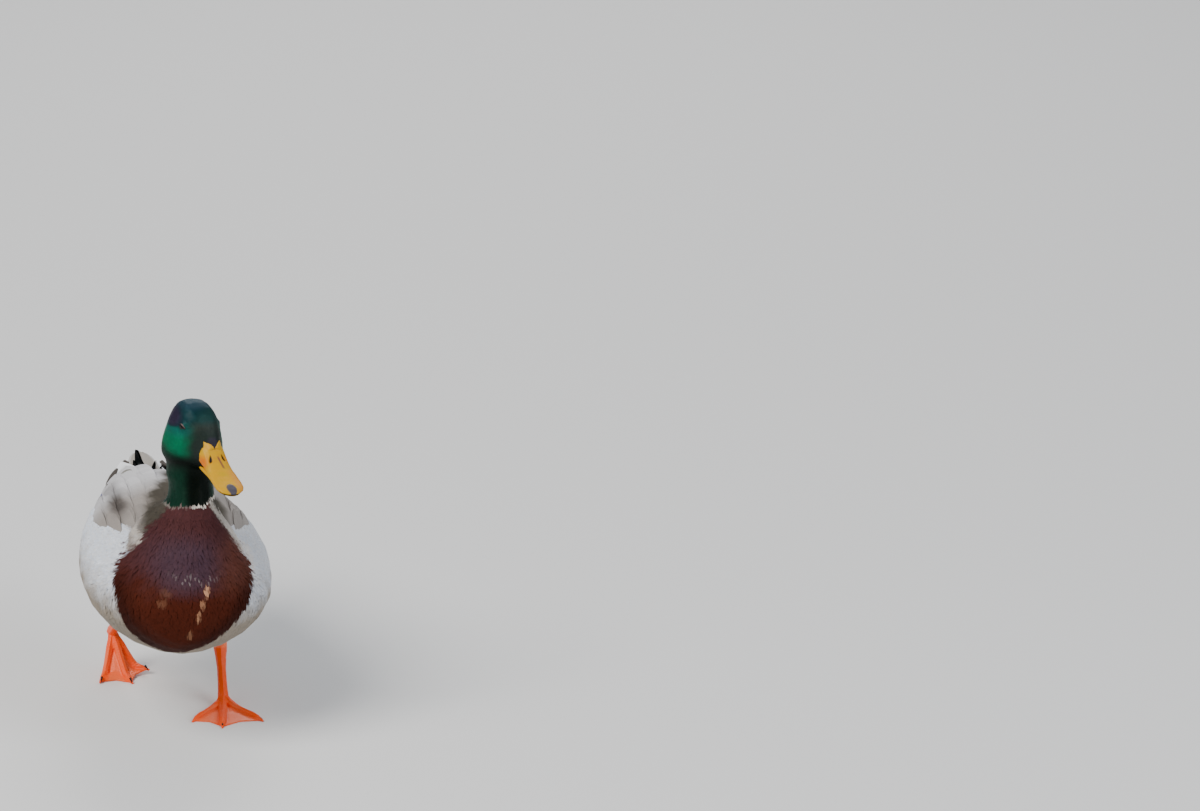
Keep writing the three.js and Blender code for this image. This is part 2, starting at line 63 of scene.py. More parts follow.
LOG = logging.getLogger("mallard")
MM = 0.001
CYCLE = 6.283  # radians in a full turn
BODY = "root"
SIDES = {"left": 1.0, "right": -1.0}
PATCH = 0.0028  # the width of one feather's place in the map OFBake
ALONG = 100.0  # millimetres of a feather for each unit of the map Vane


# ---- Numbers and colours ----


def unit(vectors: Array) -> Array:
    """Vectors scaled to a length of one, along the last axis."""
    length = np.linalg.norm(vectors, axis=-1, keepdims=True)
    return vectors / np.maximum(length, 1e-9)


def ease(value: Array, low: float, high: float) -> Array:
    """A smooth step from 0 at low to 1 at high, which may lie below low."""
    share = np.clip((value - low) / (high - low), 0.0, 1.0)
    return share * share * (3.0 - 2.0 * share)


def band(value: Array, middle_at: float, edge: float, core: float) -> Array:
    """A smooth band: 0 further than edge from its middle, and 1 nearer than core."""
    return ease(np.abs(value - middle_at), edge, core)


@dataclass(frozen=True)
class Oval:
    """A soft oval mark."""

    middle: tuple  # in its two directions, in millimetres
    size: tuple  # half its size in each
    edge: tuple = (1.2, 0.5)  # where it starts and where it is full, as shares of its size

    def distance(self, first: Array, second: Array) -> Array:
        """How far each place is from its middle, as a share of its size."""
        return np.hypot((first - self.middle[0]) / self.size[0], (second - self.middle[1]) / self.size[1])

    def share(self, first: Array, second: Array) -> Array:
        """How full the mark is at each place."""
        return ease(self.distance(first, second), *self.edge)


def blend(first: Array, second: Array, share: Array) -> Array:
    """One row, or rows, turned into others by a share for each."""
    return first + (second - first) * share[..., None]


def laid(ground: Array, *coats: tuple[enum.Enum, Array]) -> Array:
    """Colours laid over a ground, one after the other.

    Args:
        ground: One colour, or rows of them.
        *coats: Each colour with its share at each place.

    Returns:
        Linear red, green and blue at each place.
    """
    for tint, share in coats:
        ground = blend(ground, tint.rgb, share)
    return ground


def colour(code: str) -> Array:
    """A colour written as six hexadecimal digits, as linear red, green and blue."""
    shown = np.array([int(code[i:i + 2], 16) / 255.0 for i in (0, 2, 4)])
    return np.where(shown <= 0.04045, shown / 12.92, ((shown + 0.055) / 1.055) ** 2.4)


def ripple(points: Array, size: float, turn: float = 0.0) -> Array:
    """A smooth irregular field between about -1 and 1, the same at each run.

    Args:
        points: Places in millimetres.
        size: How far apart its hills lie, in millimetres.
        turn: A phase that tells one field from another.

    Returns:
        One number for each point.
    """
    x, y, z = (points[..., i] / size * CYCLE for i in range(3))
    first = np.sin(0.97 * x + 0.31 * z + turn) * np.sin(1.03 * y - 0.42 * x + 2.0 * turn)
    second = np.sin(1.61 * z + 0.83 * y + 3.0 * turn) * np.sin(1.37 * x - 0.9 * z + turn)
    return 0.6 * first + 0.6 * second


class Shade(enum.Enum):
    """A named colour, kept as six hexadecimal digits."""

    @property
    def rgb(self) -> Array:
        """The colour as linear light."""
        return colour(self.value)


class Tint(Shade):
    """The colours of the plumage."""

    CROWN = "213b46"
    TEAL = "082b2f"
    FOREHEAD = "1c3a38"
    BROW = "333a35"
    FACE = "232c28"
    NOTCH = "2e2c35"
    CHEEK = "006444"
    CHEEK_SHEEN = "0a5a52"
    VIOLET_SHEEN = "2b2538"
    THROAT = "070f0a"
    NAPE = "0a2d21"
    NECK = "0e2f22"
    COLLAR = "d8d0c6"
    CHESTNUT = "48292a"
    CHESTNUT_DARK = "431a0e"
    CHESTNUT_DEEP = "260d07"
    CHESTNUT_WARM = "5f3628"
    PLUM = "42303a"
    TAN = "d09a74"
    FLANK = "d9dee6"
    FLANK_SHADE = "91877a"
    BELLY = "a39a8c"
    MANTLE = "454038"
    BEIGE = "968f89"
    SCAPULAR = "c3c2c4"
    WEDGE = "58524e"
    TERTIAL = "8b8880"
    QUILL = "4c4641"
    SPECULUM = "2a2f86"
    BLACK = "0b0f10"
    WHITE = "eef0f2"
    TAIL_GREY = "9a948c"


# ---- Shader maths ----


class Signal:
    """A shader socket that takes part in sums and products as a number does."""

    def __init__(self, graph: "Graph", socket: bpy.types.NodeSocket) -> None:
        """Wraps one output socket of a graph's node."""
        self.graph = graph
        self.socket = socket

    def _math(self, operation: str, first: object, second: object = 0.0) -> "Signal":
        """One Math node on two values or signals."""
        return self.graph.node("ShaderNodeMath", {0: first, 1: second}, operation=operation)

    def __add__(self, other: object) -> "Signal":
        """This plus other."""
        return self._math("ADD", self, other)

    def __radd__(self, other: object) -> "Signal":
        """Other plus this."""
        return self._math("ADD", other, self)

    def __sub__(self, other: object) -> "Signal":
        """This less other."""
        return self._math("SUBTRACT", self, other)

    def __rsub__(self, other: object) -> "Signal":
        """Other less this."""
        return self._math("SUBTRACT", other, self)

    def __mul__(self, other: object) -> "Signal":
        """This times other."""
        return self._math("MULTIPLY", self, other)

    def __rmul__(self, other: object) -> "Signal":
        """Other times this."""
        return self._math("MULTIPLY", other, self)

    def sine(self) -> "Signal":
        """Its sine, in radians."""
        return self._math("SINE", self)

    def size(self) -> "Signal":
        """Its absolute value."""
        return self._math("ABSOLUTE", self)

    def step(self, low: float, high: float) -> "Signal":
        """A smooth step of it from 0 at low to 1 at high."""
        inputs = {"Value": self, "From Min": low, "From Max": high}
        return self.graph.node("ShaderNodeMapRange", inputs, interpolation_type="SMOOTHSTEP")


class Graph:
    """The node tree of one material."""

    def __init__(self, name: str) -> None:
        """Starts a material of that name with an empty tree."""
        self.material = bpy.data.materials.new(name)
        self.material.use_nodes = True
        self.tree = self.material.node_tree
        self.tree.nodes.clear()

    def node(self, kind: str, inputs: dict | None = None, output: object = 0,
             **settings: object) -> Signal:
        """Adds a node.

        Args:
            kind: The node's type name.
            inputs: Values or signals for its sockets, by name or number.
            output: The socket that the signal stands for.
            **settings: The node's own settings, set first.

        Returns:
            The signal of one of its outputs.
        """
        made = self.tree.nodes.new(kind)
        for key, value in settings.items():
            setattr(made, key, value)
        for key, value in (inputs or {}).items():
            socket = made.inputs[key]
            if isinstance(value, Signal):
                self.tree.links.new(value.socket, socket)
            else:
                socket.default_value = value
        return Signal(self, made.outputs[output])

    def mix(self, first: object, second: object, share: object, kind: str = "MIX") -> Signal:
        """Two colours mixed: the first where share is 0, the second where it is 1."""
        inputs = {0: share, 6: first, 7: second}
        return self.node("ShaderNodeMix", inputs, 2, data_type="RGBA", blend_type=kind)

    def attribute(self, name: str) -> Signal:
        """The colour that a mesh attribute holds."""
        return self.node("ShaderNodeAttribute", {}, "Color", attribute_name=name)

    def parts(self, vector: Signal) -> tuple[Signal, Signal, Signal]:
        """The three numbers of a vector or colour."""
        made = self.node("ShaderNodeSeparateXYZ", {0: vector})
        outputs = made.socket.node.outputs
        return tuple(Signal(self, outputs[i]) for i in range(3))

    def place(self) -> Signal:
        """Object coordinates."""
        return self.node("ShaderNodeTexCoord", {}, "Object")

    def noise(self, scale: float, detail: float) -> Signal:
        """Noise on object coordinates: hills in a metre, and how many finer layers it has."""
        inputs = {"Vector": self.place(), "Scale": scale, "Detail": detail}
        return self.node("ShaderNodeTexNoise", inputs, "Fac")

    def bump(self, height: Signal, depth: float, strength: float) -> Signal:
        """A normal bumped by a height from 0 to 1, whose depth is in metres."""
        inputs = {"Height": height, "Distance": depth, "Strength": strength}
        return self.node("ShaderNodeBump", inputs, "Normal")

    def finish(self, **sockets: object) -> Material:
        """Ends the tree with one Principled shader.

        Args:
            **sockets: Values or signals for its sockets, with _ for a space.

        Returns:
            The material.
        """
        inputs = {key.replace("_", " "): value for key, value in sockets.items()}
        shader = self.node("ShaderNodeBsdfPrincipled", inputs, "BSDF")
        output = self.tree.nodes.new("ShaderNodeOutputMaterial")
        self.tree.links.new(shader.socket, output.inputs["Surface"])
        return self.material


# ---- Where things are ----


def corners(node: str) -> tuple[Array, Array]:
    """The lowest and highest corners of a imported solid, in millimetres."""
    low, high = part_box(node)
    return np.array(low) / MM, np.array(high) / MM


def middle(node: str) -> Array:
    """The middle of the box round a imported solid, in millimetres."""
    low, high = corners(node)
    return 0.5 * (low + high)


def read(parts: object, name: str, width: int, kind: type = float) -> Array:
    """Numbers that some of a mesh's parts hold.

    Args:
        parts: The parts, such as its edges.
        name: What is read of each.
        width: How many numbers each has.
        kind: The kind of number.

    Returns:
        One row of numbers for each part.
    """
    flat = np.empty(len(parts) * width, dtype=kind)
    parts.foreach_get(name, flat)
    return flat.reshape(-1, width)


def read_points(piece: Piece) -> Array:
    """The points of a piece's mesh, in millimetres."""
    return read(piece.data.vertices, "co", 3) / MM


def points_of(node: str) -> Array:
    """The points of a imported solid's mesh, in millimetres."""
    return read_points(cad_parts[node])


@dataclass
class Landmarks:
    """The bird's two frames: its trunk's, and its turned head's."""

    trunk_roll: float = 3.0  # degrees, the back leans over the left foot
    trunk_level: float = 110.0  # height that the roll turns about
    bill_drop: float = 24.2  # degrees from the head's level line down to the bill's tip
    eye_ahead: float = 7.0  # eyes from the skull's middle
    eye_above: float = 2.6
    rear: tuple = ((203.0, 257.0, 291.0), (0.0, -7.0, -11.0))  # back, and where its middle swings

    def __post_init__(self) -> None:
        """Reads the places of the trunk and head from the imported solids."""
        low, high = corners("trunk")
        self.origin = np.array([0.5 * (low[0] + high[0]), low[1], 0.0])
        eyes = [middle("eye_left"), middle("eye_right")]
        left = unit(eyes[0] - eyes[1])
        between = 0.5 * (eyes[0] + eyes[1])
        bill = points_of("bill_upper")
        ahead = bill[np.argmax(np.linalg.norm(bill - between, axis=1))] - between
        ahead = unit(ahead - left * np.dot(ahead, left))
        above = np.cross(ahead, left)
        drop = math.radians(self.bill_drop)
        forward = math.cos(drop) * ahead + math.sin(drop) * above
        up = np.cross(forward, left)
        self.axes = np.array([forward, left, up])
        self.skull = between - self.eye_ahead * forward - self.eye_above * up
        self.eyes = {"left": eyes[0], "right": eyes[1]}

    def on_trunk(self, points: Array) -> tuple[Array, Array, Array]:
        """How far across to the left, how far back, and how high places are on the unrolled trunk."""
        offset = points - self.origin
        roll = math.radians(self.trunk_roll)
        height = offset[..., 2] - self.trunk_level
        across = offset[..., 0] * math.cos(roll) - height * math.sin(roll)
        above = offset[..., 0] * math.sin(roll) + height * math.cos(roll)
        return across, offset[..., 1], above + self.trunk_level

    def from_trunk(self, points: Array) -> Array:
        """Places on the unrolled trunk, as places of the bird."""
        roll = math.radians(self.trunk_roll)
        above = points[..., 2] - self.trunk_level
        x = points[..., 0] * math.cos(roll) + above * math.sin(roll)
        z = -points[..., 0] * math.sin(roll) + above * math.cos(roll)
        return np.stack([x, points[..., 1], z + self.trunk_level], axis=-1) + self.origin

    def on_head(self, points: Array) -> Array:
        """How far ahead of, to the left of and above the skull's middle places are."""
        return np.moveaxis((points - self.skull) @ self.axes.T, -1, 0)

    def sway(self, back: Array) -> Array:
        """How far across the trunk's middle lies at each distance back."""
        return np.interp(back, *self.rear)

    def eye_distance(self, points: Array) -> Array:
        """How far each place is from the nearer eye's middle."""
        return np.min([np.linalg.norm(points - eye, axis=1) for eye in self.eyes.values()], axis=0)


PLACES = Landmarks()


# ---- Mesh helpers ----


def deselect_all() -> None:
    """Leaves object mode with nothing selected."""
    if bpy.context.object and bpy.context.object.mode != "OBJECT":
        bpy.ops.object.mode_set(mode="OBJECT")
    bpy.ops.object.select_all(action="DESELECT")


def activate(piece: Piece) -> None:
    """Makes a piece the only selected object, and the active one."""
    deselect_all()
    piece.select_set(True)
    bpy.context.view_layer.objects.active = piece


def added(tool: Callable, name: str, **settings: object) -> Piece:
    """A new object made by one of Blender's tools, with nothing else selected."""
    deselect_all()
    tool(**settings)
    bpy.context.object.name = name
    return bpy.context.object


def apply_modifier(piece: Piece, kind: str, **settings: object) -> None:
    """Adds a modifier to a piece and applies it.

    Args:
        piece: The piece.
        kind: The modifier's type name.
        **settings: The modifier's settings.
    """
    activate(piece)
    bpy.ops.object.modifier_add(type=kind)
    modifier = piece.modifiers[-1]
    for key, value in settings.items():
        setattr(modifier, key, value)
    bpy.ops.object.modifier_apply(modifier=modifier.name)


def edit(piece: Piece, *steps: Callable) -> None:
    """Runs steps of mesh editing on the whole of a piece.

    Args:
        piece: The piece.
        *steps: Blender's mesh tools, with their settings.
    """
    activate(piece)
    bpy.ops.object.mode_set(mode="EDIT")
    bpy.ops.mesh.select_all(action="SELECT")
    for step in steps:
        step()
    bpy.ops.object.mode_set(mode="OBJECT")


def merge_doubles() -> None:
    """Merges the selected points that lie in one place."""
    bpy.ops.mesh.remove_doubles(threshold=1e-6)


def mend_normals(piece: Piece) -> None:
    """Merges doubled points and turns every face outwards."""
    edit(piece, merge_doubles, partial(bpy.ops.mesh.normals_make_consistent, inside=False))


def joined(pieces: Sequence[Piece], name: str) -> Piece:
    """Joins pieces into the first of them.

    Args:
        pieces: What is joined.
        name: The name of the whole.

    Returns:
        The joined piece.
    """
    deselect_all()
    for piece in pieces:
        piece.select_set(True)
    bpy.context.view_layer.objects.active = pieces[0]
    if len(pieces) > 1:
        bpy.ops.object.join()
    pieces[0].name = name
    pieces[0].data.name = name
    return pieces[0]


def cast_of(nodes: Sequence[str], name: str, voxel: float, proud: float = 0.3) -> Piece:
    """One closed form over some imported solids, bridging the thin cuts between them.

    Args:
        nodes: The solids.
        name: The form's name.
        voxel: The size of its faces, in millimetres.
        proud: How far each solid swells first, to bridge a cut.

    Returns:
        The form, with its own mesh.
    """
    copies = []
    for node in nodes:
        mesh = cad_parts[node].data.copy()
        mesh.materials.clear()
        copy = bpy.data.objects.new(f"{name}_{node}", mesh)
        bpy.context.scene.collection.objects.link(copy)
        edit(copy, merge_doubles)
        if proud:
            apply_modifier(copy, "DISPLACE", strength=proud * MM, mid_level=0.0)
        copies.append(copy)
    form = joined(copies, name)
    apply_modifier(form, "REMESH", mode="VOXEL", voxel_size=voxel * MM, adaptivity=0.0)
    return form


def write_points(piece: Piece, points: Array) -> None:
    """Moves the points of a piece's mesh to places in millimetres."""
    piece.data.vertices.foreach_set("co", (points * MM).ravel())
    piece.data.update()


def read_normals(piece: Piece) -> Array:
    """The normals at the points of a piece's mesh."""
    return read(piece.data.vertex_normals, "vector", 3)


def averager(piece: Piece) -> Callable:
    """A function that gives the mean place of the neighbours of each of a piece's points."""
    first, second = read(piece.data.edges, "vertices", 2, int).T
    size = len(piece.data.vertices)
    count = np.maximum(np.bincount(np.concatenate([first, second]), minlength=size), 1)[:, None]

    def mean(points: Array) -> Array:
        """The mean place of each point's neighbours."""
        total = [np.bincount(first, points[second, i], size) + np.bincount(second, points[first, i], size)
                 for i in range(3)]
        return np.stack(total, axis=1) / count

    return mean


def relax(piece: Piece, passes: int, weight: Array | None = None) -> None:
    """Smooths a mesh without shrinking it, by a step in and a step back out.

    Args:
        piece: The piece.
        passes: How many pairs of steps.
        weight: How much each point takes part, from 0 to 1.
    """
    mean, points = averager(piece), read_points(piece)
    share = np.ones(len(points)) if weight is None else weight
    for _ in range(passes):
        for step in (0.55, -0.575):
            points = points + step * share[:, None] * (mean(points) - points)
    write_points(piece, points)


def smooth_one_way(piece: Piece, passes: int, weight: Array, way: float) -> None:
    """Smooths a mesh by steps that only ever move it outwards, or only inwards.

    Args:
        piece: The piece.
        passes: How many steps.
        weight: How much each point takes part, from 0 to 1.
        way: 1.0 to fill hollows, -1.0 to shave ridges.
    """
    mean, points = averager(piece), read_points(piece)
    for index in range(passes):
        if index % 5 == 0:
            write_points(piece, points)
            normals = read_normals(piece)
        out = np.sum((mean(points) - points) * normals, axis=1) * way
        points = points + normals * (0.7 * way * weight * np.clip(out, 0.0, None))[:, None]
    write_points(piece, points)


def store(mesh: bpy.types.Mesh, name: str, values: Array) -> None:
    """Keeps a colour for each point of a mesh.

    Args:
        mesh: The mesh.
        name: The attribute's name.
        values: Three numbers for each point.
    """
    layer = mesh.attributes.new(name, "FLOAT_COLOR", "POINT")
    full = np.ones((len(values), 4), dtype=np.float32)
    full[:, :3] = values
    layer.data.foreach_set("color", full.ravel())


def keep(piece: Piece, slot: str, material: Material, *nodes: str) -> None:
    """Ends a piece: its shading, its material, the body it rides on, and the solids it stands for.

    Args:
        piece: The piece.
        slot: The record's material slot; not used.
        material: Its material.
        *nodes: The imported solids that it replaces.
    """
    piece.data.shade_smooth()
    piece.data.materials.clear()
    piece.data.materials.append(material)
    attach(piece, BODY)
    if nodes:
        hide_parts(*nodes)
    triangles = sum(len(face.vertices) - 2 for face in piece.data.polygons)
    LOG.info("%s: %d triangles", piece.name, triangles)


class Surface:
    """A form that feathers lie along, read once and asked often, in millimetres."""

    def __init__(self, piece: Piece) -> None:
        """Reads the piece's mesh."""
        mesh = piece.data
        mesh.calc_loop_triangles()
        self.triangles = read(mesh.loop_triangles, "vertices", 3, int)
        self.points = read_points(piece)
        self.point_normals = read_normals(piece)
        self.tree = BVHTree.FromPolygons(self.points.tolist(), self.triangles.tolist())

    def weights(self, places: Array, faces: Array) -> Array:
        """How near each place is to the three corners of its face, as shares of one."""
        a, b, c = (self.points[self.triangles[faces, i]] for i in range(3))
        edge, other, spoke = b - a, c - a, places - a
        ee, eo, oo = (np.sum(p * q, -1) for p, q in ((edge, edge), (edge, other), (other, other)))
        se, so = np.sum(spoke * edge, -1), np.sum(spoke * other, -1)
        area = np.maximum(ee * oo - eo * eo, 1e-12)
        second = np.clip((oo * se - eo * so) / area, 0.0, 1.0)
        third = np.clip((ee * so - eo * se) / area, 0.0, 1.0 - second)
        return np.stack([1.0 - second - third, second, third], axis=-1)

    def nearest(self, places: Array) -> tuple[Array, Array, Array]:
        """The nearest points of the surface.

        Args:
            places: One place a row.

        Returns:
            The nearest points, the smooth normals there, and the faces they lie on.
        """
        found = [self.tree.find_nearest(place) for place in places.tolist()]
        spots = np.array([hit[0] for hit in found])
        faces = np.array([hit[2] for hit in found])
        return spots, self.smooth(spots, faces), faces

    def smooth(self, spots: Array, faces: Array) -> Array:
        """The smooth normals at points on given faces."""
        share = self.weights(spots, faces)
        corner = self.point_normals[self.triangles[faces]]
        return unit(np.sum(corner * share[..., None], axis=1))

    def cast(self, starts: Array, headings: Array) -> tuple[Array, Array]:
        """Where rays from outside first meet the surface.

        Args:
            starts: Where each ray starts.
            headings: Where each points.

        Returns:
            The points met and the smooth normals there; a ray that misses keeps its start.
        """
        spots = starts.copy()
        faces = np.zeros(len(starts), dtype=np.int64)
        for index, (start, heading) in enumerate(zip(starts.tolist(), headings.tolist())):
            hit = self.tree.ray_cast(start, heading)
            if hit[0] is not None:
                spots[index] = hit[0]
                faces[index] = hit[2]
        return spots, self.smooth(spots, faces)

    def scatter(self, spacing: Callable, seed: int, tries: float = 5.0) -> tuple[Array, Array]:
        """Even points over the surface, each at least its spacing from the ones before.

        Args:
            spacing: Gives the spacing in millimetres at rows of places; 0 leaves a place bare.
            seed: The seed of the random draw.
            tries: How many points are drawn for each that has room.

        Returns:
            The points and their normals.
        """
        rng = np.random.default_rng(seed)
        a, b, c = (self.points[self.triangles[:, i]] for i in range(3))
        area = 0.5 * np.linalg.norm(np.cross(b - a, c - a), axis=1)
        apart = spacing((a + b + c) / 3.0)
        density = np.where(apart > 0.0, area / np.maximum(apart, 0.3) ** 2, 0.0)
        count = int(density.sum() * tries)
        faces = rng.choice(len(area), size=count, p=density / density.sum())
        mix = rng.random((count, 2))
        mix = np.where(mix.sum(1, keepdims=True) > 1.0, 1.0 - mix, mix)
        share = np.column_stack([1.0 - mix.sum(1), mix])
        spots = np.sum(self.points[self.triangles[faces]] * share[..., None], axis=1)
        reach = spacing(spots)
        tree = KDTree(count)
        for index, spot in enumerate(spots.tolist()):
            tree.insert(spot, index)
        tree.balance()
        free = reach > 0.0
        kept = []
        for index in range(count):
            if free[index]:
                kept.append(index)
                for _, other, _ in tree.find_range(spots[index], reach[index]):
                    free[other] = False
        kept = np.array(kept)
        return spots[kept], self.smooth(spots[kept], faces[kept])


# ---- Markings ----


@dataclass(frozen=True)
class Markings:
    """The drake's colours, one rule for the skin and for every feather over it.

    Across, back and height are the trunk's own; ahead, side and above are the head's. Of the two
    numbers that ease() takes, a colour starts at the first and is full at the second.
    """

    collar_height: float = 193.0  # of its lower edge, beside the neck
    collar_fall: float = 0.3  # how much lower it runs for each millimetre back
    collar_back: float = 59.0  # the neck's middle, back from the breast
    collar_width: float = 2.0
    bib: tuple = ((72, -12, -6), (78, -12, 6), (90, -12.5, 23), (99, -10, 34), (105, -9, 39.5),
                  (113, -7, 45), (124, -4.5, 51.5), (136, -2, 55), (145, -0.5, 53), (152, 0, 47.5),
                  (165, 1.0, 37.5), (176.5, 0.4, 30.5), (188, 1.5, 21.5), (196, 1.8, 15.5),
                  (206, 3, 10))  # the chestnut from the front: height, middle, half width
    bib_back: tuple = ((150, 170, 185, 200), (88, 76, 62, 52))  # height, how far back it reaches
    wing_line: tuple = ((40, 65, 84, 130, 140, 160, 181, 220, 250, 265, 291),
                        (150, 156, 160, 157, 154.5, 151.5, 149, 148, 150, 145, 134))  # back, height
    mantle_right: tuple = ((50, 70, 84, 130, 150, 175, 190, 240),
                           (36, 33.5, 31, 25, 23, 12, 7, 5))  # back, half width
    mantle_left: tuple = ((50, 100, 140, 180, 200, 240), (32, 39, 41, 33, 20, 9))
    # painted sheen: the purple of the head's gloss behind each eye
    violet_sheen: Oval = Oval((-9.0, 6.0), (14.0, 8.0), (1.25, 0.5))  # ahead, above
    plum: Oval = Oval((-2.0, 158.0), (36.0, 24.0), (1.15, 0.35))  # across, height, as all below
    tufts: Oval = Oval((-36.0, 166.0), (7.0, 5.0))
    flecks: tuple = ((Oval((13, 141), (2.4, 5.0)), 0.7), (Oval((10, 131), (2.2, 3.6)), 0.4),
                     (Oval((7, 121), (1.8, 5.0)), 0.5), (Oval((1, 105), (2.4, 5.0)), 0.25),
                     (Oval((-19, 139), (5.0, 3.6)), 0.06),
                     (Oval((-22, 131), (4.0, 3.0)), 0.1))  # worn tips, and how much they show
    fleck_back: float = 40.0  # they lie on the breast's front, not further back
    # painted highlights: a band of pale glints on the breast's feather tips
    glint: Oval = Oval((4.0, 149.0), (24.0, 4.5), (1.2, 0.3))
    glint_bend: float = 0.004  # how its ends rise, for each square millimetre
    glint_back: float = 45.0
    glint_strength: float = 0.14
    hem_strength: float = 0.55  # of the pale feathers round the chestnut
    coarse: float = 31.0  # how far apart the wandering of the body's colours lies
    soft: float = 23.0  # the same on the head

    def wing_height(self, back: Array) -> Array:
        """The height of the line between flank and wing."""
        return np.interp(back, *self.wing_line)

    def greenness(self, points: Array) -> Array:
        """How far above the collar each place is, in millimetres."""
        across, back, _ = PLACES.on_trunk(points)
        back = back - self.collar_back
        raw = points[..., 2] - self.collar_height + self.collar_fall * np.clip(back, -60.0, 16.0)
        raw = raw - 0.9 * np.clip(np.abs(across) - 13.0, 0.0, None)
        return raw - 1.5 * np.clip(back - 30.0, 0.0, None)

    def bib_edge(self, points: Array) -> Array:
        """How far inside the chestnut's edge each place is, in millimetres."""
        across, back, height = PLACES.on_trunk(points)
        heights, middles, halves = (np.array(column, dtype=float) for column in zip(*self.bib))
        half = np.interp(height, heights, halves)
        slope = np.interp(height, heights, np.gradient(halves, heights))
        edge = (half - np.abs(across - np.interp(height, heights, middles))) / np.hypot(1.0, slope)
        edge = np.minimum(edge, (height - heights[0]) - 4.0)
        return np.minimum(edge, np.interp(height, *self.bib_back) - back)

    def head_tone(self, points: Array) -> Array:
        """The colours of the head and neck above the collar."""
        ahead, side, above = PLACES.on_head(points)
        wander = ripple(points, self.soft)
        # the cheek is the head's own green with a painted sheen: brighter where its gloss catches the light,
        # and bluer on its upper part
        cheek = ease(above + wander, -22, -14) * ease(ahead + wander, 26, 15)
        high = cheek * ease(above - 0.2 * ahead, -10, -1) * 0.8
        face = ease(ahead + 0.3 * above + 2.0 * wander, 9, 22)
        line = above - 0.27 * (ahead + 7.7) + 2.2 + 0.4 * wander
        soft = 5.0 * ease(ahead, 2, 12)
        crown = np.clip((line + 0.5 + soft) / (2.0 + 2.0 * soft), 0.0, 1.0)
        top = laid(Tint.TEAL.rgb, (Tint.CROWN, ease(above - 0.25 * ahead, 12, 18)),
                   (Tint.FOREHEAD, ease(ahead + 0.5 * side, 4, 14)),
                   (Tint.BROW, ease(ahead, 10, 19) * ease(above, 12, 6)))
        notch = ease(ahead, 25.5, 28) * band(side, 1.5, 5, 3) * ease(above, -12, -8)
        # painted sheen: the purple that the head's gloss shows behind and above each eye
        violet_sheen = self.violet_sheen.share(ahead, above) * ease(np.abs(side), 7, 12) * crown
        throat = ease(above - 0.28 * ahead, -20, -29) * ease(ahead, -24, -4)
        tone = laid(Tint.NAPE.rgb, (Tint.CHEEK, cheek), (Tint.CHEEK_SHEEN, high), (Tint.FACE, face))
        tone = laid(blend(tone, top, crown), (Tint.NOTCH, notch), (Tint.VIOLET_SHEEN, violet_sheen),
                    (Tint.THROAT, throat))
        below = laid(Tint.THROAT.rgb, (Tint.NECK, ease(np.abs(side + 1.0), 7, 15)))
        return blend(tone, below, ease(points[..., 2], 236, 222))

    def back_tone(self, points: Array) -> Array:
        """The colours of the mantle and scapulars."""
        across, back, _ = PLACES.on_trunk(points)
        wander = ripple(points, self.coarse)
        left, right = np.interp(back, *self.mantle_left), np.interp(back, *self.mantle_right)
        near = np.where(across < 0.0, right, left)
        mantle = ease(np.abs(across) - near + 3.0 * wander, 5, -5) * ease(back, 244, 200)
        beige = np.maximum(ease(back, 205, 150), ease(across, 20, 40))
        # dark brown feathers along the scapulars' lower edge, deepened by painted shade where they overhang
        # the flank
        wedge = ease(np.abs(across + 45.0 + 0.05 * (back - 165.0) + 1.2 * wander), 8.5, 2.5)
        wedge = wedge * (0.45 * band(back, 180, 60, 40) + 0.55 * band(back, 164, 32, 10))
        return laid(Tint.SCAPULAR.rgb, (Tint.BEIGE, beige), (Tint.WEDGE, wedge), (Tint.MANTLE, mantle))

    def chest_tone(self, points: Array, edge: Array) -> Array:
        """The colours of the chestnut, darker near its edge."""
        across, back, height = PLACES.on_trunk(points)
        low = ease(height + 5.0 * ripple(points, self.coarse), 158, 132)
        warm = 0.5 * band(height, 154, 26, 8) * ease(across, 14, 36)
        deep = 0.7 * ease(edge, 18, 3) * ease(height, 152, 128)
        front = back < self.fleck_back
        wear_and_glint = [(Tint.TAN, pale * fleck.share(across, height) * front) for fleck, pale in self.flecks]
        return laid(Tint.CHESTNUT.rgb, (Tint.CHESTNUT_DARK, low),
                    (Tint.PLUM, 0.85 * self.plum.share(across, height)),
                    (Tint.CHESTNUT_WARM, warm), (Tint.CHESTNUT_DEEP, deep), *wear_and_glint)

    def body_tone(self, points: Array) -> Array:
        """The colours of the body below the collar."""
        across, back, height = PLACES.on_trunk(points)
        # painted shade: the flank darkens and warms towards the bottom, where the light from above falls
        # less, and a little over the left side, away from the key light
        low = ease(height + 5.0 * ripple(points, self.coarse), 140, 106)
        warm = np.maximum(low, 0.3 * ease(across, 10, 50))
        tone = laid(Tint.FLANK.rgb, (Tint.FLANK_SHADE, warm), (Tint.WHITE, ease(back, 205, 236)),
                    (Tint.BELLY, ease(height, 86, 64)))
        above = height - self.wing_height(back)
        tone = blend(tone, self.back_tone(points), ease(above, -1.5, 1.5))
        rump = ease(back + 1.2 * np.clip(12.0 - np.abs(across + 6.0), 0.0, None), 238, 250)
        rump = rump * ease(above, 4, 8)
        vent = ease(back, 246, 258) * ease(height, 129, 123)
        edge = self.bib_edge(points) + 1.2 * ripple(points, 9.0, 1.0)
        bib = ease(edge, -1, 1)
        hem = ease(edge, -4, -2.2) * (1.0 - bib) * ease(height, 128, 150)
        hem = hem * (0.02 + 0.98 * ease(across, -6, 10))
        tufts = 0.8 * self.tufts.share(across, height) * ease(edge, -7, -3) * (1.0 - bib)
        tone = laid(tone, (Tint.BLACK, np.maximum(rump, vent)),
                    (Tint.COLLAR, self.hem_strength * np.maximum(hem, tufts)))
        return blend(tone, self.chest_tone(points, edge), bib)

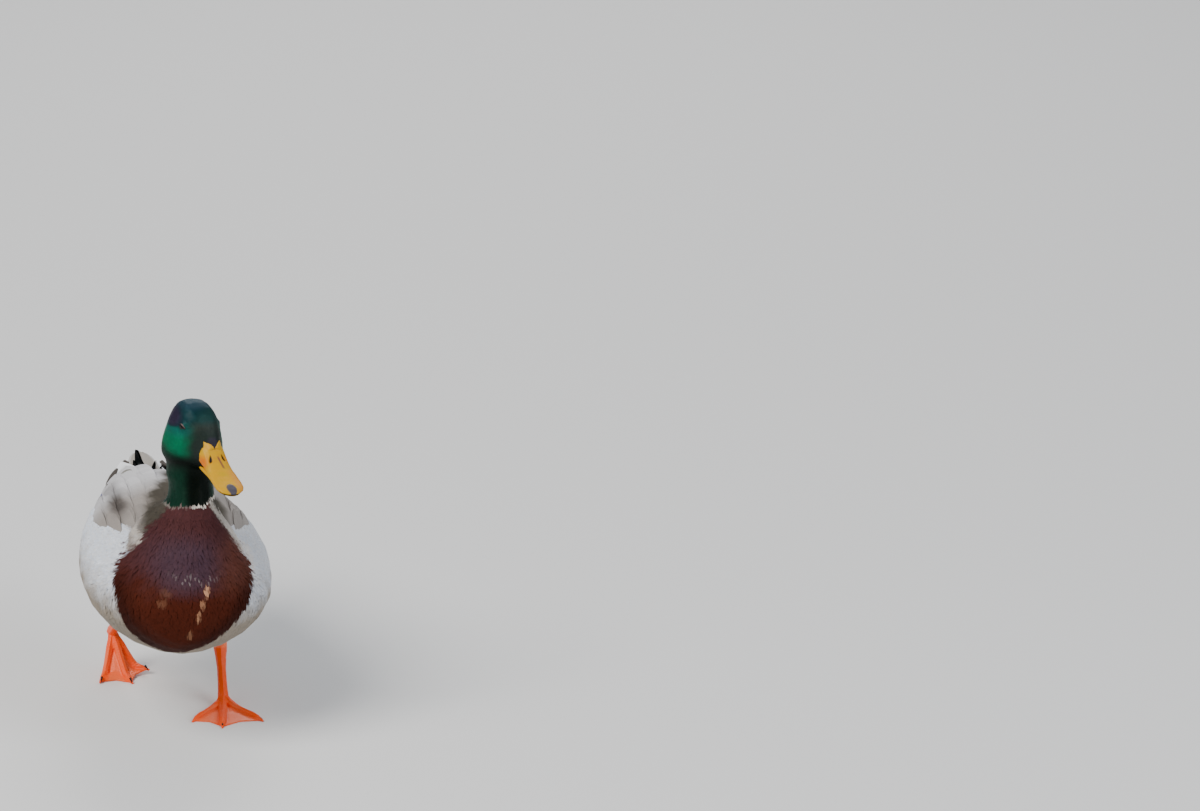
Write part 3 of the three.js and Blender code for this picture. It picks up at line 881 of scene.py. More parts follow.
    def glints(self, points: Array) -> Array:
        """How strongly painted glints, the highlights of sunlit feather tips, show on the breast at each
        place.
        """
        across, back, height = PLACES.on_trunk(points)
        level = height - self.glint_bend * (across - self.glint.middle[0]) ** 2
        shown = self.glint.share(across, level) * (back < self.glint_back)
        return self.glint_strength * shown * (self.greenness(points) < -6.0)

    def tone(self, points: Array) -> Array:
        """The colour at each place.

        Args:
            points: Places in millimetres.

        Returns:
            Linear red, green and blue for each.
        """
        above = self.greenness(points) + 0.8 * ripple(points, 7.0, 2.0)
        across, back, _ = PLACES.on_trunk(points)
        full = ease(across, -2, 8) * 0.85 + 0.15
        front = ease(back - self.collar_back, 14, 2)
        ring = ease(above, -self.collar_width - 0.6, -self.collar_width + 0.6) * full * front
        body = laid(self.body_tone(points), (Tint.COLLAR, ring))
        return blend(body, self.head_tone(points), ease(above, -0.5, 0.5))

    def trait(self, points: Array) -> tuple[Array, Array]:
        """How glossy, and how finely lined, the feathers are at each place."""
        _, back, height = PLACES.on_trunk(points)
        green = ease(self.greenness(points), -0.5, 0.5)
        rump = ease(back, 240, 252)
        bib = ease(self.bib_edge(points), -1, 1)
        lines = (1.0 - green) * (1.0 - bib) * (1.0 - rump)
        return np.maximum(green, 0.35 * rump), lines * (0.25 + 0.6 * ease(height, 120, 160))


MARKINGS = Markings()


# ---- Finishes ----


@dataclass(frozen=True)
class PlumageFinish:
    """Feathers, and the skin under them: the colour comes with the mesh."""

    name: str = "plumage"
    roughness: float = 0.62
    gloss_roughness: float = 0.46
    metal: float = 0.4  # of the glossiest feathers
    barb: float = 1.1  # millimetres between barbs
    slant: float = 5.0  # how far a barb's end lies towards the tip
    fine: float = 2.6  # millimetres between the fine dark lines

    def build(self) -> Material:
        """The material."""
        graph = Graph(self.name)
        chance, gloss, lines = graph.parts(graph.attribute("Trait"))
        across, along, _ = graph.parts(graph.node("ShaderNodeUVMap", uv_map="Vane"))
        side = (across - 0.5).size() * 2.0
        place = along * ALONG + side * self.slant
        barbs = (place * (CYCLE / self.barb)).sine()
        shaft = 1.0 - side.step(0.03, 0.10)
        tip = side.step(0.55, 1.0)
        wander = graph.noise(260.0, 2.0)
        wave = (place * (CYCLE / self.fine) + wander * 9.0 + chance * 40.0).sine()
        fine = wave.step(0.1, 0.9) * lines
        shade = (1.0 + barbs * 0.03 + tip * 0.04 - shaft * 0.08 * (1.0 - gloss)
                 - fine * 0.12 + (chance - 0.5) * 0.07)
        tint = graph.node("ShaderNodeCombineColor", {0: shade, 1: shade, 2: shade})
        base = graph.mix(graph.attribute("Tone"), tint, 1.0, "MULTIPLY")
        rough = self.roughness - gloss * (self.roughness - self.gloss_roughness)
        height = barbs * 0.5 + 0.5
        return graph.finish(
            Base_Color=base, Roughness=rough, Metallic=gloss * self.metal,
            Coat_Weight=gloss * 0.06, Coat_Roughness=0.3, Specular_IOR_Level=0.05,
            Normal=graph.bump(height, 0.00010, 0.25))


@dataclass(frozen=True)
class SkinFinish:
    """Bare skin and down, seen only between feathers."""

    name: str = "skin"

    def build(self) -> Material:
        """The material."""
        graph = Graph(self.name)
        grain = graph.noise(900.0, 3.0)
        base = graph.mix(graph.attribute("Tone"), (0.0, 0.0, 0.0, 1.0), grain * 0.3)
        return graph.finish(Base_Color=base, Roughness=0.8, Normal=graph.bump(grain, 0.0004, 0.6))


@dataclass(frozen=True)
class HornFinish:
    """Bill, legs and claws: a horny coat whose colour comes with the mesh."""

    name: str
    roughness: float = 0.34
    grain: float = 420.0  # hills in a metre
    depth: float = 0.0002
    coat: float = 0.25
    speck: float = 0.10  # how much the grain darkens it

    def build(self) -> Material:
        """The material."""
        graph = Graph(self.name)
        cloud = graph.noise(self.grain, 4.0)
        cells = graph.node("ShaderNodeTexVoronoi", {"Vector": graph.place(), "Scale": self.grain * 1.6},
                           "Distance", feature="F1")
        base = graph.mix(graph.attribute("Tone"), (0.02, 0.008, 0.004, 1.0), cloud * self.speck)
        rough = cloud * 0.25 + (self.roughness - 0.12)
        return graph.finish(
            Base_Color=base, Roughness=rough, Coat_Weight=self.coat, Coat_Roughness=0.2,
            Specular_IOR_Level=0.2, Normal=graph.bump(cells * 0.5 + cloud * 0.5, self.depth, 0.5))


@dataclass(frozen=True)
class EyeFinish:
    """A dark brown eye with a black pupil, wet all over."""

    name: str = "eye"
    iris: str = "160a06"
    rim: str = "080403"

    def build(self) -> Material:
        """The material, which reads the angle from the pupil's middle."""
        graph = Graph(self.name)
        angle, streak, _ = graph.parts(graph.attribute("Ring"))
        iris = graph.mix((*colour(self.iris), 1.0), (*colour(self.rim), 1.0), angle.step(0.45, 0.75))
        iris = graph.mix(iris, (*colour(self.rim), 1.0), streak * 0.5)
        base = graph.mix((0.002, 0.002, 0.002, 1.0), iris, angle.step(0.30, 0.36))
        return graph.finish(Base_Color=base, Roughness=0.05, Specular_IOR_Level=0.28)


@dataclass(frozen=True)
class FloorFinish:
    """The pale floor."""

    name: str = "floor"
    shade: float = 0.74

    def build(self) -> Material:
        """The material."""
        return Graph(self.name).finish(
            Base_Color=(self.shade, self.shade, self.shade * 0.99, 1.0), Roughness=0.9)


# ---- Skin and the form under the feathers ----


@dataclass
class Skin:
    """The one skin inside the solids of flesh, and the form that the feathers lie along."""

    voxel: float = 1.5
    head_depth: float = 1.3
    neck_depth: float = 2.2
    body_depth: float = 2.6
    thigh_depth: float = 1.6
    shade: float = 0.95  # its colours beside the coat's
    pinch: float = 2.6  # how far the neck's right side is drawn in
    pinch_height: float = 204.0
    jaw_height: float = 234.0
    flesh: tuple = ("trunk", "neck", "head", "thigh_left", "thigh_right")
    wings: tuple = ("wing_left", "wing_right")
    eyes: tuple = ("eye_left", "eye_right")

    def __post_init__(self) -> None:
        """Makes the form, then the skin a coat's depth inside it."""
        form = cast_of((*self.flesh, *self.wings, *self.eyes), "form", self.voxel)
        relax(form, 10)
        points = read_points(form)
        height = points[:, 2]
        nape = band(height, 228, 24, 10) * ease(PLACES.on_head(points)[0], 24, 14)
        self.slim(form)
        smooth_one_way(form, 160, nape, 1.0)
        smooth_one_way(form, 24, ease(height, 205, 190) * ease(height, 70, 80), 1.0)
        relax(form, 12, ease(height, 250, 236))
        self.form = Surface(form)
        bpy.data.objects.remove(form)
        self.piece = cast_of(self.flesh, "skin", self.voxel)
        relax(self.piece, 8, self.softness(read_points(self.piece)))
        self.slim(self.piece)
        points = read_points(self.piece)
        write_points(self.piece, points - read_normals(self.piece) * self.depth(points)[:, None])
        self.unwrap()

    def slim(self, piece: Piece) -> None:
        """Draws the neck's right side in a little, and rounds the jaw's lower edge."""
        points = read_points(piece)
        across = PLACES.on_trunk(points)[0]
        pinch = self.pinch * band(points[:, 2], self.pinch_height, 17, 8) * ease(across, -3, -13)
        write_points(piece, points - read_normals(piece) * pinch[:, None])
        behind = ease(PLACES.on_head(points)[0], 22, 12)
        jaw = band(points[:, 2], self.jaw_height, 14, 6) * behind
        smooth_one_way(piece, 40, jaw, -1.0)

    def softness(self, points: Array) -> Array:
        """How much smoothing each place takes: less round the eyes and bill."""
        return 0.25 + 0.75 * ease(PLACES.eye_distance(points), 6, 10)

    def depth(self, points: Array) -> Array:
        """How deep the skin lies under the coat's outer face."""
        ahead, _, _ = PLACES.on_head(points)
        deep = np.interp(points[:, 2], [60, 75, 190, 215, 232],
                         [self.thigh_depth, self.body_depth, self.body_depth,
                          self.neck_depth, self.head_depth])
        deep = deep * (0.15 + 0.85 * ease(PLACES.eye_distance(points), 5.5, 9))
        face = ease(points[:, 2], 225, 235) * ease(ahead, 17, 27)
        deep = deep * (1.0 - 0.9 * face)
        return deep * (0.3 + 0.7 * ease(points[:, 2], 44, 52))

    def unwrap(self) -> None:
        """Unwraps the skin by its own shape into the map OFBake."""
        self.piece.data.uv_layers.new(name="OFBake")
        unwrap = partial(bpy.ops.uv.smart_project, angle_limit=math.radians(72), island_margin=0.002)
        edit(self.piece, unwrap)
        self.surface = Surface(self.piece)
        mesh = self.piece.data
        corners_of = read(mesh.loop_triangles, "loops", 3, int)
        self.map = read(mesh.uv_layers["OFBake"].data, "uv", 2)[corners_of]

    def place_on_map(self, roots: Array) -> Array:
        """Where roots, in millimetres, fall on the unwrapped skin: a pair of numbers for each."""
        spots, _, faces = self.surface.nearest(roots)
        share = self.surface.weights(spots, faces)
        return np.sum(self.map[faces] * share[..., None], axis=1)

    def add_lids(self, lids: Sequence[Piece]) -> None:
        """Colours the skin by the same markings as the coat, and joins the eyes' lids to it."""
        store(self.piece.data, "Tone", MARKINGS.tone(read_points(self.piece)) * self.shade)
        for lid in lids:
            lid.data.uv_layers[0].name = "OFBake"
        self.piece = joined([self.piece, *lids], "skin")

    def finish(self, material: Material) -> None:
        """Ends the skin."""
        keep(self.piece, "breast", material, *self.flesh)


# ---- The lie of the coat ----


@dataclass(frozen=True)
class Lie:
    """Which way the feathers point, and how large they are, over the whole bird."""

    flow: tuple = ((0, -0.25, -1.0), (30, -0.1, -1.0), (60, 0.6, -0.7), (90, 1.0, -0.5),
                   (200, 1.0, -0.2))  # back from the breast, and the way back and up there
    body_half: tuple = ((0.0, 60.0, 120.0, 200.0, 260.0), (2.4, 2.7, 3.2, 3.6, 3.0))  # back, half width
    neck_half: float = 1.25
    head_half: float = 1.0
    face_less: float = 0.42  # how much narrower those by the eyes and bill are

    def heading(self, points: Array, normals: Array) -> Array:
        """The way that feathers point, along the surface.

        Args:
            points: Places in millimetres.
            normals: The surface's normals there.

        Returns:
            One unit vector for each place.
        """
        ahead, _, above = PLACES.on_head(points)
        forward, _, up = PLACES.axes
        droop = 2.2 * ease(ahead, -10, -26) + 0.9 * ease(ahead, 6, -16) * ease(above, 8, -14)
        droop = droop + 0.35 * ease(above, -14, -26)
        head = unit(-forward - droop[:, None] * up)
        neck = np.array([0.0, 0.05, -1.0])
        back = PLACES.on_trunk(points)[1]
        stations, rear, rise = zip(*self.flow)
        body = unit(np.stack([np.zeros(len(back)), np.interp(back, stations, rear),
                              np.interp(back, stations, rise)], axis=1))
        flow = blend(body, neck, ease(points[:, 2], 172, 202))
        flow = blend(flow, head, ease(points[:, 2], 222, 240))
        flow = flow - normals * np.sum(flow * normals, axis=1)[:, None]
        return unit(flow)

    def scale(self, points: Array) -> Array:
        """The half width of a feather at each place, in millimetres."""
        ahead = PLACES.on_head(points)[0]
        face = np.maximum(ease(ahead, 6, 20), ease(PLACES.eye_distance(points), 14, 7))
        head = self.head_half - self.face_less * face
        body = np.interp(PLACES.on_trunk(points)[1], *self.body_half)
        half = body + (self.neck_half - body) * ease(points[:, 2], 168, 194)
        return half + (head - half) * ease(points[:, 2], 205, 232)


LIE = Lie()


@dataclass(frozen=True)
class Cut:
    """How one kind of feather is made."""

    stations: tuple  # place along it and share of its half width, root to tip
    columns: int = 3
    arch: float = 0.4  # rise of the shaft as a share of the half width
    fray: float = 0.0  # how ragged its tip is, as a share of the half width
    crisp: float = 0.5  # how much of its own arch shows in its shading

    @property
    def places(self) -> Array:
        """Where its rows lie, from 0 at the root to 1 at the tip."""
        return np.array([place for place, _ in self.stations])

    @property
    def widths(self) -> Array:
        """The share of its half width at each row."""
        return np.array([width for _, width in self.stations])


class Vane(enum.Enum):
    """The kinds of feather."""

    SCALE = Cut(((0.0, 0.5), (0.4, 0.95), (0.78, 0.8), (1.0, 0.25)), 3, 0.2, 0.06, 0.3)
    SILK = Cut(((0.0, 0.5), (0.4, 1.0), (0.75, 0.75), (1.0, 0.12)), 3, 0.14, 0.0, 0.3)
    LONG = Cut(((0.0, 0.45), (0.2, 0.8), (0.45, 1.0), (0.7, 0.98), (0.86, 0.8), (0.95, 0.5), (1.0, 0.12)),
               7, 0.09, 0.02, 0.6)
    QUILL = Cut(((0.0, 0.5), (0.2, 0.9), (0.45, 1.0), (0.65, 0.96), (0.82, 0.8), (0.93, 0.5), (1.0, 0.1)),
                5, 0.14, 0.0, 0.7)
    RIBBON = Cut(tuple((i / 15.0, min(1.0, 0.4 + 4.0 * i / 15.0) * (1.0 - 0.92 * (i / 15.0) ** 1.3))
                       for i in range(16)), 5, 0.3, 0.0, 0.8)


class Plumes:
    """Feathers gathered into one piece of thin closed vanes."""

    def __init__(self, name: str, skin: Skin, seed: int) -> None:
        """Starts an empty piece."""
        self.name = name
        self.skin = skin
        self.rng = np.random.default_rng(seed)
        self.points, self.normals, self.tones, self.traits = [], [], [], []
        self.vanes, self.maps, self.quads, self.caps = [], [], [], []
        self.total = 0

    def add(self, kind: Vane, lines: Array, ups: Array, half: Array | float,
            tones: Array | Callable, gloss: Array | float, fine: Array | float) -> None:
        """Adds feathers of one kind.

        Args:
            kind: How they are cut.
            lines: Their centre lines: feather, row, and x, y, z in millimetres.
            ups: The way each row faces.
            half: Half width, in millimetres, of each or of all.
            tones: Linear colour of each, or of each of its rows, or a rule for all their points.
            gloss: How glossy they are.
            fine: How finely lined they are.
        """
        cut = kind.value
        count, rows, columns = shape = len(lines), len(cut.stations), cut.columns
        half, gloss, fine = (np.broadcast_to(value, count) for value in (half, gloss, fine))
        span = np.linspace(-1.0, 1.0, columns)
        heading = unit(np.gradient(lines, axis=1))
        across = unit(np.cross(ups, heading))
        ups = unit(np.cross(heading, across))
        wide = half[:, None] * cut.widths
        rise = cut.arch * wide[:, :, None] * (1.0 - span ** 2)
        ragged = np.zeros(shape)
        if cut.fray:
            share = np.clip((cut.places - 0.6) / 0.4, 0.0, 1.0)
            noise = self.rng.uniform(-1.0, 0.7, (count, 1, columns))
            ragged = noise * share[None, :, None] * cut.fray * half[:, None, None]
        points = (lines[:, :, None] + across[:, :, None] * (span * wide[:, :, None])[..., None]
                  + ups[:, :, None] * rise[..., None] + heading[:, :, None] * ragged[..., None])
        tilt = 2.0 * cut.arch * span * cut.crisp
        normals = unit(ups[:, :, None] + across[:, :, None] * tilt[None, None, :, None])
        length = np.linalg.norm(np.diff(lines, axis=1), axis=2).sum(1)
        chance = self.rng.random(count)
        trait = np.stack([chance, gloss, fine], axis=1)
        if callable(tones):
            shades = tones(points)
        else:
            rows_of = tones if tones.ndim == 3 else np.repeat(tones[:, None], rows, axis=1)
            shades = np.repeat(rows_of[:, :, None], columns, axis=2)
        along = cut.places[None, :, None]
        grid_u = np.broadcast_to(0.5 + 0.5 * span, shape)
        grid_v = np.broadcast_to(along * length[:, None, None] / ALONG, shape)
        spot = self.skin.place_on_map(lines[:, 0])
        patch_u = spot[:, 0, None, None] + (grid_u - 0.5) * PATCH
        patch_v = np.broadcast_to(spot[:, 1, None, None] + (along - 0.5) * PATCH, shape)
        self.points.append(points.reshape(-1, 3))
        self.normals.append(normals.reshape(-1, 3))
        self.tones.append(shades.reshape(-1, 3))
        self.traits.append(np.repeat(trait, rows * columns, axis=0))
        self.vanes.append(np.stack([grid_u, grid_v], axis=-1).reshape(-1, 2))
        self.maps.append(np.stack([patch_u, patch_v], axis=-1).reshape(-1, 2))
        self.close(count, rows, columns)

    def close(self, count: int, rows: int, columns: int) -> None:
        """Joins the points of the feathers just added by faces over, under and at both ends.

        Args:
            count: How many feathers there are.
            rows: How many rows of points each has.
            columns: How many points a row has.
        """
        each = rows * columns
        grid = np.arange(each).reshape(rows, columns)
        near, far = grid[:-1], grid[1:]
        top = np.stack([near[:, :-1], far[:, :-1], far[:, 1:], near[:, 1:]], axis=-1).reshape(-1, 4)
        under = np.stack([near[:, 0], near[:, -1], far[:, -1], far[:, 0]], axis=-1)
        quads = np.concatenate([top, under])
        start = self.total + np.arange(count)[:, None, None] * each
        self.quads.append((quads[None] + start).reshape(-1, 4))
        caps = np.stack([grid[0], grid[-1, ::-1]])
        self.caps.append((caps[None] + start).reshape(-1, columns))
        self.total += count * each

    def add_one(self, kind: Vane, line: Array, up: Array, half: float, tone: Array,
                gloss: float = 0.0, fine: float = 0.0) -> None:
        """Adds one feather, which faces one way or a way for each of its rows."""
        self.add(kind, line[None], np.broadcast_to(up, line.shape)[None], half, tone[None], gloss, fine)

    def build(self, slot: str, material: Material, *nodes: str) -> None:
        """Makes the piece.

        Args:
            slot: The record's material slot.
            material: Its material.
            *nodes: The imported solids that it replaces.
        """
        mesh = bpy.data.meshes.new(self.name)
        quads = np.concatenate(self.quads)
        corners_of = [quads.ravel()] + [caps.ravel() for caps in self.caps]
        sizes = [np.full(len(quads), 4)] + [np.full(len(c), c.shape[1]) for c in self.caps]
        corners_of, sizes = np.concatenate(corners_of), np.concatenate(sizes)
        mesh.vertices.add(self.total)
        mesh.vertices.foreach_set("co", (np.concatenate(self.points) * MM).ravel())
        mesh.loops.add(len(corners_of))
        mesh.loops.foreach_set("vertex_index", corners_of.astype(np.int32))
        mesh.polygons.add(len(sizes))
        starts = np.concatenate([[0], np.cumsum(sizes)[:-1]])
        mesh.polygons.foreach_set("loop_start", starts.astype(np.int32))
        mesh.update(calc_edges=True)
        for name, values in (("Vane", self.vanes), ("OFBake", self.maps)):
            layer = mesh.uv_layers.new(name=name)
            layer.data.foreach_set("uv", np.concatenate(values)[corners_of].ravel())
        mesh.uv_layers["OFBake"].active = True
        store(mesh, "Tone", np.concatenate(self.tones))
        store(mesh, "Trait", np.concatenate(self.traits))
        mesh.validate()
        mesh.shade_smooth()
        mesh.normals_split_custom_set_from_vertices(np.concatenate(self.normals).tolist())
        piece = bpy.data.objects.new(self.name, mesh)
        bpy.context.scene.collection.objects.link(piece)
        keep(piece, slot, material, *nodes)


@dataclass(frozen=True)
class Tract:
    """One region of small feathers, laid by the lie of the coat."""

    name: str
    slot: str
    region: Callable  # 1 where it grows, 0 elsewhere, at rows of places
    kind: Vane
    spacing: float  # as a share of the feather's half width
    length: float  # as a share of its half width
    sunk: float  # how deep its root lies, in millimetres
    lift: float  # how high its tip stands
    stray: float  # degrees that feathers stray from the lie
    scale: float = 1.0  # of its half width beside the lie's
    layer: float = 0.06  # how unevenly they lie over each other, as a share of the half width
    warmth: float = 0.025  # how their colours differ
    light: float = 0.05
    wear_and_glint: float = 0.2  # how many have a tip that may take a painted glint

    def grow(self, skin: Skin, material: Material, seed: int, bare: Callable) -> None:
        """Grows the tract's feathers on the form.

        Args:
            skin: The skin and its form.
            material: The feathers' material.
            seed: The seed of the random draw.
            bare: Tells where nothing grows, at rows of places.
        """
        spots, normals = skin.form.scatter(lambda points: self.apart(points, bare), seed)
        plumes = Plumes(self.name, skin, seed)
        rng = np.random.default_rng(seed + 1)
        half = LIE.scale(spots) * self.scale * rng.uniform(0.9, 1.12, len(spots))
        length = half * self.length * rng.uniform(0.9, 1.15, len(spots))
        lines, ups = self.lines(skin.form, spots, normals, length, rng)
        looks = self.look(lines, rng)
        clear = ~np.any([bare(lines[:, row]) for row in range(1, lines.shape[1])], axis=0)
        plumes.add(self.kind, *(values[clear] for values in (lines, ups, half, *looks)))
        plumes.build(self.slot, material)

    def apart(self, points: Array, bare: Callable) -> Array:
        """The spacing of feathers at each place, 0 where the tract doesn't grow."""
        grows = self.region(points) & ~bare(points)
        return np.where(grows, LIE.scale(points) * self.scale * self.spacing, 0.0)

    def lines(self, form: Surface, spots: Array, normals: Array, length: Array,
              rng: np.random.Generator) -> tuple[Array, Array]:
        """Centre lines that follow the form from each root.

        Args:
            form: The form.
            spots: The roots.
            normals: The form's normals there.
            length: Each feather's length.
            rng: Random numbers.

        Returns:
            The lines and the way each of their rows faces.
        """
        places = self.kind.value.places
        turn = np.radians(rng.normal(0.0, self.stray, len(spots)))
        layer = rng.uniform(0.0, self.layer, len(spots)) * LIE.scale(spots)
        line, faces = [], []
        for index, place in enumerate(places):
            if index:
                step = (place - places[index - 1]) * length
                spots = spots + heading * step[:, None]
                spots, normals, _ = form.nearest(spots)
            heading = LIE.heading(spots, normals)
            side = np.cross(normals, heading)
            heading = heading * np.cos(turn)[:, None] + side * np.sin(turn)[:, None]
            height = -self.sunk + (self.sunk + self.lift + layer) * min(1.0, place * 1.35) ** 0.8
            line.append(spots + normals * height[:, None])
            faces.append(normals)
        return np.stack(line, axis=1), np.stack(faces, axis=1)

    def look(self, lines: Array, rng: np.random.Generator) -> tuple:
        """The colour, gloss and fineness of feathers from where their tips lie."""
        shown = lines[:, -2]
        tones = MARKINGS.tone(shown)
        gloss, fine = MARKINGS.trait(shown)
        warm = rng.normal(0.0, self.warmth, (len(lines), 1)) * np.array([1.0, 0.3, -0.6])
        light = 1.0 + rng.normal(0.0, self.light, (len(lines), 1))
        # painted highlight: a few tips on the breast take a pale glint
        glint = MARKINGS.glints(shown) * (rng.random(len(lines)) < self.wear_and_glint)
        tones = laid(tones, (Tint.COLLAR, glint))
        return np.clip(tones * light * (1.0 + warm), 0.0, 1.0), gloss, fine


# ---- The coat's tracts ----


class Zone(enum.IntEnum):
    """The regions of the coat, each a piece of its own."""

    HEAD = 0
    NECK = 1
    BREAST = 2
    FLANK_LEFT = 3
    FLANK_RIGHT = 4
    BELLY = 5
    MANTLE = 6
    RUMP = 7
    THIGHS = 8

    def grows(self, points: Array) -> Array:
        """Which places belong to this region."""
        return zone_of(points) == self.value


def zone_of(points: Array) -> Array:
    """The number of the zone that each place belongs to.

    Args:
        points: Places in millimetres.

    Returns:
        One number for each.
    """
    across, back, height = PLACES.on_trunk(points)
    zone = np.where(across > 0.0, Zone.FLANK_LEFT.value, Zone.FLANK_RIGHT.value)
    zone = np.where(height < 76.0, Zone.BELLY.value, zone)
    zone = np.where(height > MARKINGS.wing_height(back), Zone.MANTLE.value, zone)
    vent = (back > 246.0) & (height < 131.0)
    zone = np.where((back > 238.0) & (height > 131.0) | vent, Zone.RUMP.value, zone)
    for node in ("thigh_left", "thigh_right"):
        low, high = corners(node)
        inside = np.all((points > low - 1.5) & (points < high + 1.5), axis=1)
        zone = np.where(inside & (points[:, 2] < high[2] - 6.0), Zone.THIGHS.value, zone)
    zone = np.where(MARKINGS.bib_edge(points) > -7.0, Zone.BREAST.value, zone)
    zone = np.where(MARKINGS.greenness(points) > -6.0, Zone.NECK.value, zone)
    return np.where(points[:, 2] > 228.0, Zone.HEAD.value, zone)


TRACTS = (
    Tract("coat_head", "head", Zone.HEAD.grows, Vane.SCALE, 0.95, 4.6, 0.6, 0.12, 9.0),
    Tract("coat_neck", "neck", Zone.NECK.grows, Vane.SCALE, 0.9, 5.4, 1.2, 0.15, 8.0, 0.9),
    Tract("coat_breast", "breast", Zone.BREAST.grows, Vane.SILK, 1.07, 9.0, 1.8, 0.12, 6.0, 0.475),
    Tract("coat_flank_left", "thigh", Zone.FLANK_LEFT.grows, Vane.SILK, 1.07, 9.4, 2.0, 0.18, 6.0, 0.43),
    Tract("coat_flank_right", "thigh", Zone.FLANK_RIGHT.grows, Vane.SILK, 1.07, 9.4, 2.0, 0.18, 6.0, 0.43),
    Tract("coat_belly", "thigh", Zone.BELLY.grows, Vane.SILK, 1.1, 9.0, 2.0, 0.2, 7.0, 0.49),
    Tract("coat_mantle", "wing", Zone.MANTLE.grows, Vane.SILK, 1.0, 9.0, 2.2, 0.0, 8.0, 0.5),
    Tract("coat_rump", "tail", Zone.RUMP.grows, Vane.SILK, 1.1, 9.5, 2.0, 0.3, 9.0, 0.55),
    Tract("coat_thighs", "thigh", Zone.THIGHS.grows, Vane.SILK, 1.1, 6.5, 1.0, 0.2, 9.0, 0.36),
)


# ---- Long feathers ----


def spoke(turn: Array) -> Array:
    """The way out from the trunk's middle at degrees off its top, to the left."""
    angle = np.radians(turn)
    return np.stack([np.sin(angle), np.zeros_like(angle), np.cos(angle)], axis=-1)


@dataclass(frozen=True)
class Row:
    """One row of long feathers over the shoulder: degrees off the top, and distances back."""

    turn: float
    first: float
    last: float
    count: int
    length: float
    grow: float  # how much longer the last is than the first
    half: float
    lift: float
    swing: float  # degrees it drifts outwards along its length


@dataclass
class BackFeathers:
    """The scapulars, laid in rows over both shoulders."""

    rows: tuple = (
        Row(61.0, 122.0, 172.0, 6, 60.0, 10.0, 9.5, 0.2, 4.0),
        Row(52.0, 98.0, 172.0, 10, 58.0, 18.0, 10.0, 0.6, 3.0),
        Row(42.0, 92.0, 172.0, 11, 56.0, 26.0, 10.5, 1.0, 2.0),
        Row(31.0, 88.0, 170.0, 11, 54.0, 30.0, 10.5, 1.4, 1.0),
        Row(20.0, 90.0, 168.0, 10, 52.0, 28.0, 10.5, 1.8, 0.0),
        Row(9.0, 94.0, 176.0, 10, 48.0, 22.0, 10.0, 2.0, 0.0),
    )
    seed: int = 44  # of the left side's draws; the right side's is the next
    axis_height: float = 112.0
    outside: float = 160.0  # how far from that axis is well outside the form
    sunk: float = 2.2
    roll: float = 0.05  # how much each row leans over the one outside it
    fine: float = 0.85

    def over(self, form: Surface, turn: Array, back: Array) -> tuple:
        """Points of the form at angles off the trunk's top.

        Args:
            form: The form.
            turn: Degrees off the top, to the left.
            back: Distance back from the breast.

        Returns:
            The points and normals there.
        """
        axis = np.stack([PLACES.sway(back), back, np.full_like(back, self.axis_height)], axis=-1)
        starts = PLACES.from_trunk(axis + self.outside * spoke(turn))
        ends = PLACES.from_trunk(axis)
        return form.cast(starts, unit(ends - starts))

    def build(self, side: str, skin: Skin, material: Material) -> None:
        """Lays one side's feathers.

        Args:
            side: left or right.
            skin: The skin and its form.
            material: The feathers' material.
        """
        plumes = Plumes(f"scapulars_{side}", skin, self.seed + (side == "right"))
        rng = plumes.rng
        for row in self.rows:
            share = np.linspace(0.0, 1.0, row.count) + rng.normal(0.0, 0.015, row.count)
            back = row.first + share * (row.last - row.first)
            length = (row.length + share * row.grow) * rng.uniform(0.94, 1.06, row.count)
            lines, ups = self.lines(skin.form, SIDES[side], row, back, length, rng)
            light = 1.0 + rng.normal(0.0, 0.045, (row.count, 1, 1, 1))
            half = row.half * rng.uniform(0.92, 1.08, row.count)
            plumes.add(Vane.LONG, lines, ups, half, partial(self.tone, light), 0.0, self.fine)
        plumes.build("wing", material)

    def tone(self, light: Array, points: Array) -> Array:
        """The colour at each point of some feathers, each lit a little of its own."""
        tones = MARKINGS.back_tone(points.reshape(-1, 3)).reshape(points.shape)
        return np.clip(tones * light, 0.0, 1.0)

    def lines(self, form: Surface, side: float, row: Row, back: Array,
              length: Array, rng: np.random.Generator) -> tuple[Array, Array]:
        """The centre lines of one row's feathers, and the way their rows face."""
        line, faces = [], []
        stray = rng.normal(0.0, 1.2, len(back))
        for place in Vane.LONG.value.places:
            turn = row.turn + row.swing * place + stray * place
            spots, normals = self.over(form, side * turn, back + length * place)
            height = -self.sunk + (self.sunk + row.lift) * min(1.0, 1.2 * place)
            out = spoke(side * turn)
            line.append(spots + out * height)
            faces.append(unit(0.3 * normals + 0.7 * out + [self.roll * side, 0.0, 0.0]))
        return np.stack(line, axis=1), np.stack(faces, axis=1)


@dataclass(frozen=True)
class Bundle:
    """A stack of long quills at the folded wing's end: stations of back, across, height, bank."""

    stations: tuple
    quills: int
    first: float
    apart: float  # how much further back the next one starts
    half: float
    length: float
    shorter: float  # how much shorter the next one is
    spread: float  # how far across the bundle they fan, in millimetres
    tone: Tint
    raised: float
    pale: float = 0.0  # how white the outermost one is


